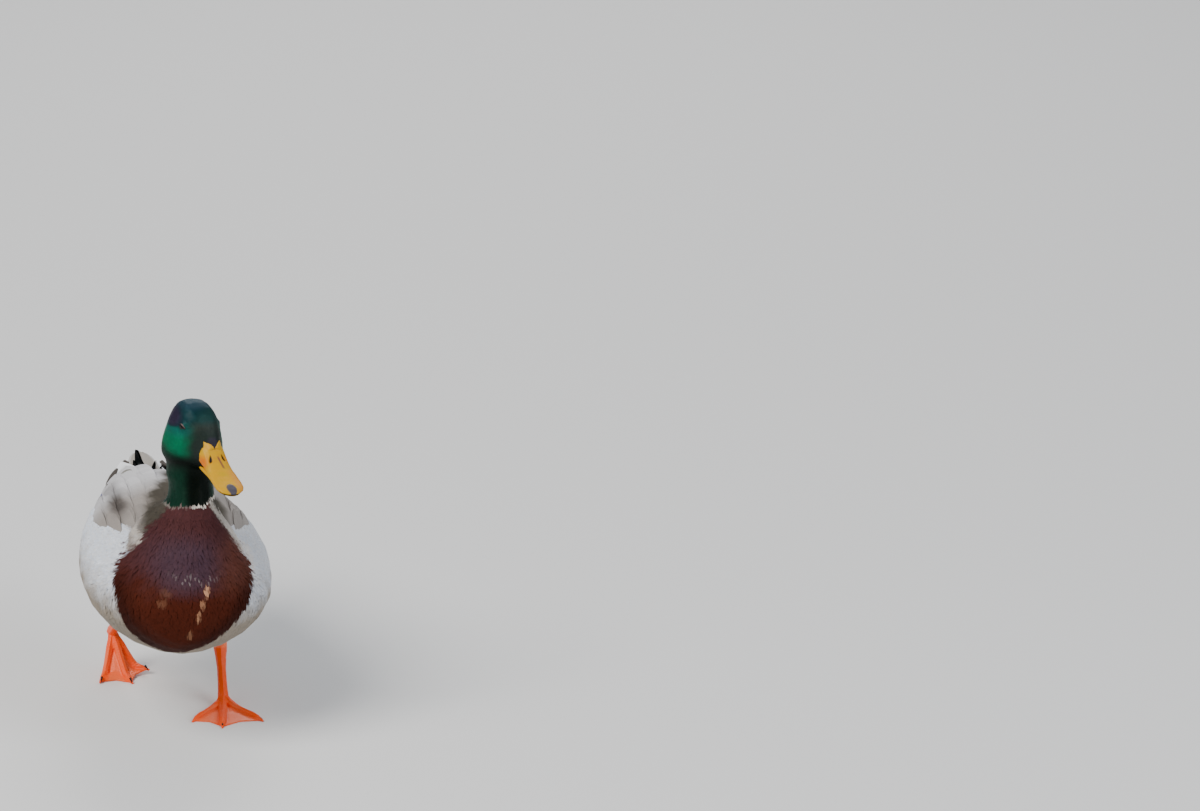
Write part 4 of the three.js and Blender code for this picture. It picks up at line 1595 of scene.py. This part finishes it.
@dataclass
class FoldedWing:
    """One folded wing: secondaries, tertials over them, and the primaries' tips behind."""

    tertials: Bundle = Bundle(
        ((165, 35, 160, 28), (203, 32.5, 160.5, 29), (235, 28, 158.4, 28), (261, 22, 155.7, 22),
         (280, 19, 152.2, 16)), 5, 160.0, 3.0, 10.5, 119.0, 7.0, 11.0, Tint.TERTIAL, 0.3,
        1.4)
    primaries: Bundle = Bundle(
        ((200, 49, 146, 52), (241, 39.5, 148, 46), (269, 29, 148, 36), (292, 20, 147, 26),
         (308, 15, 145.4, 20)), 6, 204.0, 2.0, 7.5, 103.5, 6.0, 6.0, Tint.QUILL, 0.0)
    secondaries: Row = Row(57.0, 140.0, 192.0, 9, 48.0, 4.0, 7.0, 0.9, 2.0)
    seed: int = 64  # of the left side's draws; the right side's is the next
    thickness: float = 0.75  # from one quill of a stack to the next
    sunk: float = 1.8  # how deep a quill's root lies

    def build(self, side: str, skin: Skin, back: BackFeathers, material: Material) -> None:
        """Makes one wing.

        Args:
            side: left or right.
            skin: The skin and its form.
            back: How feathers are laid over the back.
            material: The feathers' material.
        """
        plumes = Plumes(f"wing_quills_{side}", skin, self.seed + (side == "right"))
        self.side_row(plumes, SIDES[side], skin, back)
        for bundle in (self.primaries, self.tertials):
            self.stack(plumes, SIDES[side], bundle)
        plumes.build("wing", material, f"wing_{side}")

    def side_row(self, plumes: Plumes, side: float, skin: Skin, back: BackFeathers) -> None:
        """Lays the secondaries along the wing's side, with a sliver of the blue speculum."""
        row = self.secondaries
        share = np.linspace(0.0, 1.0, row.count)
        start = row.first + share * (row.last - row.first)
        length = row.length + share * row.grow
        lines, ups = back.lines(skin.form, side, row, start, length, plumes.rng)
        tones = MARKINGS.back_tone(lines.reshape(-1, 3)).reshape(lines.shape)
        tones[-2:, 3:] = [Tint.SPECULUM.rgb, Tint.SPECULUM.rgb, Tint.BLACK.rgb, Tint.WHITE.rgb]
        plumes.add(Vane.LONG, lines, ups, row.half, tones, 0.5, 0.0)

    def stack(self, plumes: Plumes, side: float, bundle: Bundle) -> None:
        """Lays one bundle's quills, the outermost first and the innermost on top."""
        stations = np.array(bundle.stations, dtype=float)
        places = Vane.QUILL.value.places
        for index in range(bundle.quills):
            inner = index / (bundle.quills - 1)
            start = bundle.first + bundle.apart * (bundle.quills - 1 - index)
            length = bundle.length - bundle.shorter * index
            back = start + places * length
            fan = bundle.spread * (0.5 - inner) * (1.0 - 0.75 * places)
            x, z, bank = (np.interp(back, stations[:, 0], stations[:, i]) for i in (1, 2, 3))
            up = spoke(side * bank)
            up = PLACES.from_trunk(up) - PLACES.from_trunk(np.zeros_like(up))
            bank = np.radians(bank)
            level = bundle.raised + self.thickness * inner * (bundle.quills - 1) - self.sunk * (1.0 - places)
            across = side * (x + fan * np.cos(bank) + level * np.sin(bank)) + PLACES.sway(back)
            height = z - fan * np.sin(bank) + level * np.cos(bank)
            line = PLACES.from_trunk(np.stack([across, back, height], axis=-1))
            tone = bundle.tone.rgb * (1.0 + plumes.rng.normal(0.0, 0.06))
            tone = laid(tone, (Tint.WHITE, np.minimum(1.0, bundle.pale * (1.0 - inner))))
            plumes.add_one(Vane.QUILL, line, up, bundle.half * (1.0 - 0.06 * index), tone, 0.05, 0.3)


@dataclass
class Tail:
    """The closed fan of white tail feathers, its coverts, and the drake's black curls."""

    root: tuple = (-7.0, 257.0, 128.0)  # across, back, height
    swing: float = 4.0  # degrees to the bird's right
    length: float = 83.4
    half: float = 9.2
    spread: float = 13.0
    fan: float = 3.0
    lift: float = 9.0  # degrees its feathers rise to their tips
    per_side: int = 7
    seed: int = 71
    coverts: tuple = ((3.4, Tint.WHITE, 46.0, 9.0),
                      (-3.8, Tint.BLACK, 52.0, 10.0))  # above, colour, reach, how much less outside
    covert_starts: tuple = (-22.0, -12.0, -2.0)
    covert_half: float = 6.5
    black_starts: tuple = (-14.0, -4.0, 6.0, 14.0)  # of the rows that the curls rise from
    black_reach: float = 24.0
    black_half: float = 4.2
    curl_radius: float = 8.4
    curl_half: float = 5.4
    curl_run: float = 0.22  # the share of its length that lies flat
    curl_flat: float = 12.0  # that part in millimetres
    curl_lean: float = 5.0
    curl_twist: float = 0.8
    curls: tuple = ((4.0, 33.0, 17.0, 0.5), (-4.6, 35.0, 16.5, 1.06), (8.4, 26.0, 16.5, 0.42),
                    (-9.4, 28.0, 16.0, 0.7))  # across, along, above, size
    curl_turn: float = 186.0  # degrees from lying flat to the tip

    def place(self, points: Array) -> Array:
        """Points of the tail's own frame, in the bird's."""
        turn = math.radians(self.swing)
        x = points[..., 0] * math.cos(turn) - points[..., 1] * math.sin(turn)
        y = points[..., 0] * math.sin(turn) + points[..., 1] * math.cos(turn)
        return PLACES.from_trunk(np.stack([x, y, points[..., 2]], axis=-1) + np.array(self.root))

    def facing(self, vectors: Array) -> Array:
        """Directions of the tail's own frame, in the bird's."""
        return self.place(vectors) - self.place(np.zeros_like(vectors))

    def quill(self, share: float, start: float, end: float, above: float) -> tuple:
        """The centre line of a feather of the fan, and the way it faces.

        Args:
            share: From -1, the outermost on the right, to 1.
            start: Where it starts, in millimetres along the fan.
            end: Where it ends.
            above: How far over the fan it lies.

        Returns:
            The line and its facings, one row for each station.
        """
        reach = start + (end - start) * Vane.QUILL.value.places
        rise, turn, tilt = (math.radians(a) for a in (self.lift, self.fan * share, 14.0 * share))
        x = reach * math.cos(rise) * math.sin(turn) + self.spread * share
        y = reach * math.cos(rise) * math.cos(turn)
        z = reach * math.sin(rise) + 3.6 - 5.0 * share * share + above
        line = self.place(np.stack([x, y, z], axis=-1))
        up = np.array([math.sin(tilt), -math.sin(rise), math.cos(tilt)])
        return line, np.broadcast_to(self.facing(unit(up)[None]), line.shape)

    def build_fan(self, skin: Skin, material: Material) -> None:
        """Lays the tail feathers, outermost lowest, and the coverts over and under their roots."""
        plumes = Plumes("tail_feathers", skin, self.seed)
        shares = np.arange(-self.per_side, self.per_side + 1) / self.per_side
        for share in sorted(shares, key=lambda s: -abs(s)):
            end = self.length * (1.0 - 0.26 * share * share)
            line, up = self.quill(share, 0.0, end, 0.9 - 0.8 * abs(share))
            tone = laid(Tint.WHITE.rgb, (Tint.TAIL_GREY, ease(np.abs(share), 0.55, 0.15)))
            plumes.add_one(Vane.QUILL, line, up, self.half * (1.0 - 0.1 * abs(share)), tone)
        for above, tone, reach, step in self.coverts:
            for start in self.covert_starts:
                for share in np.linspace(-1.25, 1.25, 7) + plumes.rng.normal(0.0, 0.03, 7):
                    level = above * (1.0 - 0.10 * abs(share)) - math.copysign(0.05 * start, above)
                    line, up = self.quill(share, start, start + reach - step * abs(share), level)
                    facing = up if above > 0.0 else -up
                    plumes.add_one(Vane.QUILL, line, facing, self.covert_half, tone.rgb)
        plumes.build("tail", material, "tail")

    def build_curls(self, skin: Skin, material: Material) -> None:
        """Lays the black coverts and the curls that rise from them."""
        plumes = Plumes("black_curls", skin, self.seed + 1)
        for start in self.black_starts:
            for x in np.linspace(-10.0, 10.0, 7) + plumes.rng.normal(0.0, 0.4, 7):
                reach = start + self.black_reach * Vane.QUILL.value.places
                crest = 16.2 + 2.2 * np.sqrt(np.clip(1.0 - (x / 13.0) ** 2, 0.0, 1.0))
                z = crest - 0.0022 * (reach - 8.0) ** 2
                line = self.place(np.stack([np.full_like(reach, x), reach, z], axis=-1))
                up = self.facing(unit(np.array([[x * 0.06, 0.05, 1.0]])))
                plumes.add_one(Vane.QUILL, line, up, self.black_half, Tint.BLACK.rgb, 0.5)
        for x, y, z, size in self.curls:
            for layer, shrink in enumerate((1.0, 0.9, 0.8)):
                self.curl(plumes, x + 0.5 * layer, y, z - 0.3 * layer, size * shrink)
        plumes.build("curls", material, "tail_curls")

    def curl(self, plumes: Plumes, x: float, y: float, z: float, size: float) -> None:
        """One curled covert: a ribbon that runs back, then turns up and forwards."""
        places, run = Vane.RIBBON.value.places, self.curl_run
        turn = np.radians(np.clip((places - run) / (1.0 - run), 0.0, 1.0) * self.curl_turn)
        radius = self.curl_radius * size
        lean = math.copysign(self.curl_lean, x) * turn / math.radians(self.curl_turn) * size
        flat = np.clip(1.0 - places / run, 0.0, 1.0)
        line = np.stack([x + lean, y - flat * self.curl_flat + radius * np.sin(turn),
                         z - flat + radius * (1.0 - np.cos(turn))], axis=-1)
        twist = math.copysign(self.curl_twist, x) * np.sin(turn)
        up = self.facing(unit(np.stack([twist, -np.sin(turn), np.cos(turn)], axis=-1)))
        plumes.add_one(Vane.RIBBON, self.place(line), up, self.curl_half * size, Tint.BLACK.rgb, 0.65)


# ---- Bill, eyes, legs ----


class Horn(Shade):
    """The colours of bill, legs and claws."""

    YELLOW = "ca9600"
    OLIVE = "c09800"
    ORANGE = "cc6400"
    PINK = "c88430"
    GROOVE_SHADE = "561a44"
    NAIL = "4a4650"
    NAIL_RIM = "c09420"
    DARK = "0c0a0b"
    LEG = "fa5206"
    WEB = "f56a38"
    KNUCKLE = "ff9a68"
    CLAW = "15110f"
    LID = "7a5f5c"


@dataclass
class Bill:
    """The bill in its two halves, with nostrils, a nail and a mouth line."""

    voxel: float = 0.5
    nostrils: tuple = (-4.1, 6.8)  # to the side of the head's middle
    nostril_ahead: float = 39.0
    nostril_size: tuple = (2.9, 1.35)
    nostril_depth: float = 1.1
    nail: Oval = Oval((69.2, 1.2), (5.2, 4.0))  # ahead, aside
    gape: Oval = Oval((35.0, -16.0), (8.0, 6.0), (1.2, 0.3))  # ahead, above
    notch: tuple = (33.4, 1.5, 0.86)  # the forehead's point: ahead, aside, half width per length
    brow: tuple = (24.8, -1.4, 0.62)  # the base's upper corners: ahead, above, slope
    proud: float = 0.75  # of the base over the face
    covered: float = 1.2  # how far the face's feathers run over the base's edge
    lowest: float = 230.0  # height under which the base doesn't reach

    def on_face(self, ahead: Array, side: Array, above: Array) -> Array:
        """How far inside the bill's base each place of the face lies, in millimetres."""
        edge = ahead - self.brow[0] - self.brow[2] * (self.brow[1] - above)
        point = np.abs(side - self.notch[1]) - (self.notch[0] - ahead) * self.notch[2]
        inside = np.minimum(edge, point)
        return np.where(above > -15.0, inside, ahead - 31.0)

    def bare(self, points: Array) -> Array:
        """Whether each place lies on the bill's base, where nothing grows."""
        return (self.on_face(*PLACES.on_head(points)) > self.covered) & (points[:, 2] > self.lowest)

    def build(self, material: Material) -> None:
        """Makes both halves."""
        for node in ("bill_upper", "bill_lower"):
            upper = node == "bill_upper"
            piece = cast_of((node,), node + "_horn", self.voxel, 0.0)
            if upper:
                piece = joined([piece, self.base()], piece.name)
                apply_modifier(piece, "REMESH", mode="VOXEL", voxel_size=self.voxel * MM)
            relax(piece, 6)
            points = read_points(piece)
            local = PLACES.on_head(points)
            if upper:
                dip = self.relief(*local)
                write_points(piece, points + read_normals(piece) * dip[:, None])
            store(piece.data, "Tone", self.tone(*local, upper))
            keep(piece, "bill", material, node)

    def base(self) -> Piece:
        """The base over the face: a plate that runs up to two points beside the forehead."""
        plate = cast_of(("head",), "bill_base", 0.6, 0.0)
        relax(plate, 3)
        outside = self.on_face(*PLACES.on_head(read_points(plate))) < 0.0
        plate.data.vertices.foreach_set("select", outside)
        activate(plate)
        bpy.ops.object.mode_set(mode="EDIT")
        bpy.ops.mesh.delete(type="VERT")
        bpy.ops.object.mode_set(mode="OBJECT")
        apply_modifier(plate, "SOLIDIFY", thickness=2.0 * self.proud * MM, offset=0.0)
        return plate

    def opening(self, ahead: Array, side: Array, above: Array) -> Array:
        """How deep in a nostril each place lies, from 0 outside to 1."""
        ahead = ahead - self.nostril_ahead
        depth = []
        for at in self.nostrils:
            aside = (side - at) * math.copysign(1.0, at) - 0.25 * ahead
            taper = self.nostril_size[1] * (1.0 + 0.16 * ahead)
            far = np.hypot(ahead / self.nostril_size[0], aside / np.maximum(taper, 0.3))
            depth.append(ease(far, 1.1, 0.6))
        return np.max(depth, axis=0) * (above > -21.0)

    def relief(self, ahead: Array, side: Array, above: Array) -> Array:
        """How far the upper half's face moves out, in millimetres."""
        nail = self.nail.distance(ahead, side)
        rise = 0.25 * ease(nail, 1, 0.8) - 0.22 * band(nail, 1.06, 0.14, 0)
        lip = 0.18 * band(above, -20.5, 1.2, 0) * ease(ahead, 60, 50)
        return rise + lip - self.nostril_depth * self.opening(ahead, side, above)

    def tone(self, ahead: Array, side: Array, above: Array, upper: bool) -> Array:
        """The colours of one half."""
        cloud = ripple(np.stack([ahead, side, above], axis=-1), 17.0)
        tone = laid(Horn.YELLOW.rgb, (Horn.OLIVE, ease(cloud, -0.2, 0.9) * 0.7),
                    (Horn.ORANGE, self.gape.share(ahead, above) * 0.9),
                    (Horn.PINK, ease(side, 3, 10) * ease(ahead, 40, 56) * 0.8))
        if not upper:
            # painted shadow: the lower half darkens towards its tip, under the upper half's tip
            return laid(tone, (Horn.DARK, ease(ahead, 60, 70) * 0.7))
        # painted shadow: a dark purple line along the culmen's side, running forward from the far nostril's
        # groove
        line = np.abs(side - 2.2 - 0.19 * (ahead - 38.7))
        streak = ease(line, 1.3, 0.4) * ease(ahead, 37.5, 39.5) * ease(ahead, 49, 46.5)
        nail = self.nail.distance(ahead, side)
        # painted shadow under the upper half's tip
        lip = ease(ahead, 67, 70) * ease(above, -26.2, -27.4)
        # painted shade inside the nostril openings, the last dark coat
        return laid(tone, (Horn.GROOVE_SHADE, streak * 0.75), (Horn.NAIL_RIM, ease(nail, 1.3, 1.1)),
                    (Horn.NAIL, ease(nail, 1.04, 0.94)), (Horn.DARK, lip),
                    (Horn.DARK, self.opening(ahead, side, above)))


@dataclass
class Eyes:
    """Two dark eyes and the fine lids round them."""

    form: Surface
    radius: float = 4.75
    sideways: float = 0.35  # how much it faces straight aside, the rest as the face round it
    open_long: float = 49.0  # degrees from the pupil's middle to the corners
    open_high: float = 20.0
    power: float = 1.7  # of the opening's outline: 2 makes an ellipse, less an almond
    rim: float = 0.23  # half the thickness of the lower lid
    slope: float = 10.0  # degrees that the opening's front corner lies lower
    bare_long: float = 3.6  # half the length and height of the place where nothing grows
    bare_high: float = 1.45
    ring: float = 8.0  # how far round the eye the face is read

    def almond(self, long: Array, high: Array) -> Array:
        """How far out each place lies on an almond whose corner and top are at 1."""
        return np.abs(long) ** self.power + np.abs(high) ** self.power

    def axes(self, side: str) -> Array:
        """Each eye's outward, forward and upward directions."""
        forward, left, up = PLACES.axes
        turn = np.linspace(0.0, 2.0 * math.pi, 12, endpoint=False)[:, None]
        ring = self.ring * (np.cos(turn) * forward + np.sin(turn) * up)
        _, normals, _ = self.form.nearest(PLACES.eyes[side] + ring + 3.0 * SIDES[side] * left)
        out = unit((1.0 - self.sideways) * unit(normals.mean(axis=0)) + self.sideways * SIDES[side] * left)
        slope = math.radians(self.slope)
        ahead = unit(forward - out * np.dot(forward, out))
        above = unit(up - out * np.dot(up, out) - ahead * np.dot(up, ahead))
        long = math.cos(slope) * ahead - math.sin(slope) * above
        return np.array([out, long, math.sin(slope) * ahead + math.cos(slope) * above])

    def bare(self, points: Array) -> Array:
        """Whether each place lies inside an eye's lids, where nothing grows."""
        inside = np.zeros(len(points), dtype=bool)
        for side, eye in PLACES.eyes.items():
            out, long, high = ((points - eye) @ self.axes(side).T).T
            reach = self.almond(long / self.bare_long, high / self.bare_high)
            inside |= (reach < 1.0) & (np.abs(out) < 2.0 * self.radius)
        return inside

    def build_ball(self, side: str, material: Material) -> None:
        """Makes one eyeball."""
        ball = added(bpy.ops.mesh.primitive_uv_sphere_add, f"eyeball_{side}",
                     segments=48, ring_count=32, radius=self.radius * MM)
        out, long, high = self.axes(side)
        local = read_points(ball)
        angle = np.arccos(np.clip(local[:, 2] / self.radius, -1.0, 1.0))
        turn = np.arctan2(local[:, 1], local[:, 0])
        points = local[:, 2:] * out + local[:, :1] * long + local[:, 1:2] * high * SIDES[side]
        write_points(ball, points + PLACES.eyes[side])
        mend_normals(ball)
        streak = 0.5 + 0.5 * np.sin(turn * 23.0) * np.sin(turn * 7.0 + 1.0)
        store(ball.data, "Ring", np.stack([angle, streak, angle * 0.0], axis=1))
        keep(ball, "eye", material, f"eye_{side}")

    def lid(self, side: str) -> Piece:
        """One eye's lids: a rim round the opening, on the ball's face."""
        thick = 0.25  # of the ring, whose radius is 1 before it is shaped
        ring = added(bpy.ops.mesh.primitive_torus_add, f"lid_{side}", major_segments=64,
                     minor_segments=12, major_radius=MM, minor_radius=thick * MM)
        local = read_points(ring)
        turn = np.arctan2(local[:, 1], local[:, 0])
        outward = np.hypot(local[:, 0], local[:, 1]) - 1.0
        almond = self.almond(np.cos(turn) / self.open_long, np.sin(turn) / self.open_high)
        open_at = almond ** (-1.0 / self.power)
        wide = self.rim * (1.0 + 0.5 * np.clip(np.sin(turn), 0.0, 1.0))
        angle = np.radians(open_at) + outward / thick * wide / self.radius * 1.5
        reach = self.radius + 0.05 + local[:, 2] / thick * wide * 0.8
        out, long, high = self.axes(side)
        across = np.sin(angle) * reach
        points = (out * (np.cos(angle) * reach)[:, None] + long * (across * np.cos(turn))[:, None]
                  + high * (across * np.sin(turn))[:, None])
        write_points(ring, points + PLACES.eyes[side])
        mend_normals(ring)
        upper = ease(np.sin(turn), -0.1, 0.5)[:, None]
        store(ring.data, "Tone", Horn.DARK.rgb + (Horn.LID.rgb - Horn.DARK.rgb) * upper * 0.8)
        return ring


@dataclass
class Leg:
    """One shank, foot and hind toe in a single horny skin, with claws of their own."""

    side: str
    toes: tuple  # the front toes' headings: degrees from straight ahead, to the bird's left
    voxel: float = 0.48
    swell: float = 0.6  # how far the solids swell to join
    drawn_back: float = 0.42  # how much of it is taken back
    knuckle_below: float = 2.0  # from the shank's foot end down to where the toes meet
    claw_length: float = 5.6
    claw_radius: float = 1.0
    claw_tip: float = 0.12  # its radius as a share of the root's
    claw_droop: float = 1.5
    scute: float = 2.1  # millimetres between scutes
    hind_claw: tuple = (4.0, 0.9)  # its length and radius

    def build(self, material: Material, claw_material: Material) -> None:
        """Makes the leg and its claws."""
        nodes = [f"{part}_{self.side}" for part in ("shank", "foot", "hind_toe")]
        leg = cast_of(nodes, f"leg_{self.side}", self.voxel, self.swell)
        relax(leg, 3)
        points = read_points(leg)
        normals = read_normals(leg)
        points = points + normals * (self.relief(points, normals) - self.drawn_back)[:, None]
        points[:, 2] = np.maximum(points[:, 2], 0.0)
        write_points(leg, points)
        store(leg.data, "Tone", self.tone(points))
        keep(leg, "leg", material, *nodes)
        claws = [self.claw(tip, way, self.claw_length, self.claw_radius)
                 for tip, way in (self.tip(toe) for toe in self.toes)]
        hind = points_of(f"hind_toe_{self.side}")
        root = self.knuckle
        tip = hind[np.argmax(np.linalg.norm(hind - root, axis=1))]
        claws.append(self.claw(tip, unit(tip - root), *self.hind_claw))
        whole = joined(claws, f"claws_{self.side}")
        mend_normals(whole)
        count = len(whole.data.vertices)
        store(whole.data, "Tone", np.broadcast_to(Horn.CLAW.rgb, (count, 3)))
        keep(whole, "leg", claw_material)

    @property
    def shank(self) -> tuple[Array, Array]:
        """The shank's top and its foot end, from its farthest points."""
        points = points_of(f"shank_{self.side}")
        top = points[points[:, 2] > points[:, 2].max() - 6.0].mean(axis=0)
        base = points[points[:, 2] < points[:, 2].min() + 4.0].mean(axis=0)
        return top, base

    @property
    def knuckle(self) -> Array:
        """Where the toes meet."""
        top, base = self.shank
        return base + unit(base - top) * self.knuckle_below

    def tip(self, toe: float) -> tuple[Array, Array]:
        """A toe's tip and the way it points there."""
        angle = math.radians(toe)
        way = np.array([math.sin(angle), -math.cos(angle)])
        points = points_of(f"foot_{self.side}")
        offset = (points - self.knuckle)[:, :2]
        along = offset @ way
        aside = np.abs(offset @ np.array([way[1], -way[0]]))
        best = points[np.argmax(along - 1.5 * aside)]
        return best, unit(best - self.knuckle)

    def claw(self, tip: Array, way: Array, length: float, radius: float) -> Piece:
        """One claw, bent down over its length, its point just past the toe's tip."""
        cone = added(bpy.ops.mesh.primitive_cone_add, "claw", vertices=14, radius1=radius * MM,
                     radius2=self.claw_tip * radius * MM, depth=length * MM, end_fill_type="NGON")
        edit(cone, partial(bpy.ops.mesh.subdivide, number_cuts=4))
        local = read_points(cone)
        along = local[:, 2] / length + 0.5
        across = unit(np.cross(way, np.array([0.0, 0.0, 1.0])))
        high = np.cross(across, way)
        bend = 1.2 * along * (1.0 - along) * radius - self.claw_droop * along ** 2
        points = (tip + way * ((along - 1.0) * length + 0.6)[:, None] + across * local[:, :1]
                  + high * (local[:, 1] + bend)[:, None])
        points[:, 2] = np.maximum(points[:, 2], 0.3)
        write_points(cone, points)
        return cone

    def relief(self, points: Array, normals: Array) -> Array:
        """Low ridges across the shank's front and the toes' tops."""
        reach = np.linalg.norm(points - self.knuckle, axis=1)
        ridge = np.sin(reach * 2.0 * math.pi / self.scute)
        return 0.07 * ridge * ease(normals[:, 2] - normals[:, 1], 0.2, 0.9)

    def tone(self, points: Array) -> Array:
        """The colours of the leg."""
        top, _ = self.shank
        reach = np.linalg.norm(points - self.knuckle, axis=1)
        lateral = [np.abs(np.degrees(self.bearing(points)) - toe) for toe in self.toes]
        web = ease(np.min(lateral, axis=0), 4, 9) * ease(reach, 12, 20)
        below = ease(points[:, 2], self.knuckle[2] + 6.0, self.knuckle[2] + 2.0)
        joint = band(np.linalg.norm(points - top, axis=1), 7, 3, 0.5)
        return laid(Horn.LEG.rgb, (Horn.WEB, web * below), (Horn.KNUCKLE, joint * 0.45),
                    (Horn.WEB, ease(ripple(points, 11.0), 0, 1) * 0.3))

    def bearing(self, points: Array) -> Array:
        """The direction of each place from the knuckle, seen from above."""
        offset = points - self.knuckle
        return np.arctan2(offset[:, 0], -offset[:, 1])


# ---- Stage ----


@dataclass(frozen=True)
class Lamp:
    """One soft round light: sizes in metres, power in watts."""

    name: str
    place: tuple
    size: float
    power: float
    shade: tuple

    def build(self, aim: tuple) -> None:
        """Adds the light, facing a place."""
        light = added(bpy.ops.object.light_add, self.name, type="AREA", location=self.place)
        light.data.shape = "DISK"
        light.data.size = self.size
        light.data.energy = self.power
        light.data.color = self.shade
        way = Vector(aim) - Vector(self.place)
        light.rotation_euler = way.to_track_quat("-Z", "Y").to_euler()


@dataclass(frozen=True)
class Stage:
    """The floor, the light and the camera."""

    camera_offset: tuple = (-0.4057, -4.6704)  # from the middle of the left foot, in metres
    camera_height: float = 1.774
    camera_heading: float = 8.623  # degrees to the right
    camera_pitch: float = 17.93  # degrees down
    lens: float = 187.5
    floor_size: float = 60.0
    aim: tuple = (0.0, 0.0, 0.15)  # where the lights face
    sky: tuple = (0.80, 0.87, 1.0, 1.0)
    sky_power: float = 0.32
    lamps: tuple = (Lamp("key", (-2.2, -1.6, 3.0), 2.2, 175.0, (1.0, 0.97, 0.93)),
                    Lamp("fill", (2.4, -2.0, 2.0), 2.4, 62.0, (0.93, 0.96, 1.0)),
                    Lamp("back", (0.6, 2.6, 2.2), 2.0, 45.0, (1.0, 0.98, 0.95)))

    def build(self) -> None:
        """Sets the stage."""
        floor = added(bpy.ops.mesh.primitive_plane_add, "floor", size=self.floor_size)
        floor.data.materials.append(FloorFinish().build())
        world = bpy.data.worlds.new("sky")
        bpy.context.scene.world = world
        world.use_nodes = True
        background = world.node_tree.nodes["Background"].inputs
        background["Color"].default_value = self.sky
        background["Strength"].default_value = self.sky_power
        for lamp in self.lamps:
            lamp.build(self.aim)
        self.camera()

    def camera(self) -> None:
        """Adds the camera."""
        camera = added(bpy.ops.object.camera_add, "camera")
        foot = middle("foot_left") * MM
        camera.location = (foot[0] + self.camera_offset[0], foot[1] + self.camera_offset[1],
                           self.camera_height)
        pitch = math.radians(90.0 - self.camera_pitch)
        camera.rotation_euler = (pitch, 0.0, -math.radians(self.camera_heading))
        camera.data.lens = self.lens
        camera.data.sensor_width = 36.0
        camera.data.clip_end = 200.0
        bpy.context.scene.camera = camera


# ---- The bird ----


def main() -> None:
    """Builds the bird and its stage."""
    logging.basicConfig(level=logging.INFO, format="%(message)s")
    plumage = PlumageFinish().build()
    skin = Skin()
    LOG.info("form and skin made")
    eyes, bill = Eyes(skin.form), Bill()

    def bare(points: Array) -> Array:
        """Whether nothing grows at each place: on the bill's base, and inside the lids."""
        return bill.bare(points) | eyes.bare(points)

    for tract, seed in zip(TRACTS, range(11, 11 + 3 * len(TRACTS), 3)):
        tract.grow(skin, plumage, seed, bare)
    back = BackFeathers()
    for side in SIDES:
        back.build(side, skin, plumage)
        FoldedWing().build(side, skin, back, plumage)
    tail = Tail()
    tail.build_fan(skin, plumage)
    tail.build_curls(skin, plumage)
    bill.build(HornFinish("bill", roughness=0.45, coat=0.0).build())
    eye = EyeFinish().build()
    for side in SIDES:
        eyes.build_ball(side, eye)
    skin.add_lids([eyes.lid(side) for side in SIDES])
    skin.finish(SkinFinish().build())
    horn = HornFinish("leg", roughness=0.42, grain=520.0, depth=0.00025, coat=0.12).build()
    claw = HornFinish("claw", roughness=0.3, coat=0.2).build()
    Leg("left", (-38.0, -6.0, 33.0)).build(horn, claw)
    Leg("right", (57.0, 19.0, -22.0)).build(horn, claw)
    Stage().build()


if __name__ == "__main__":
    main()
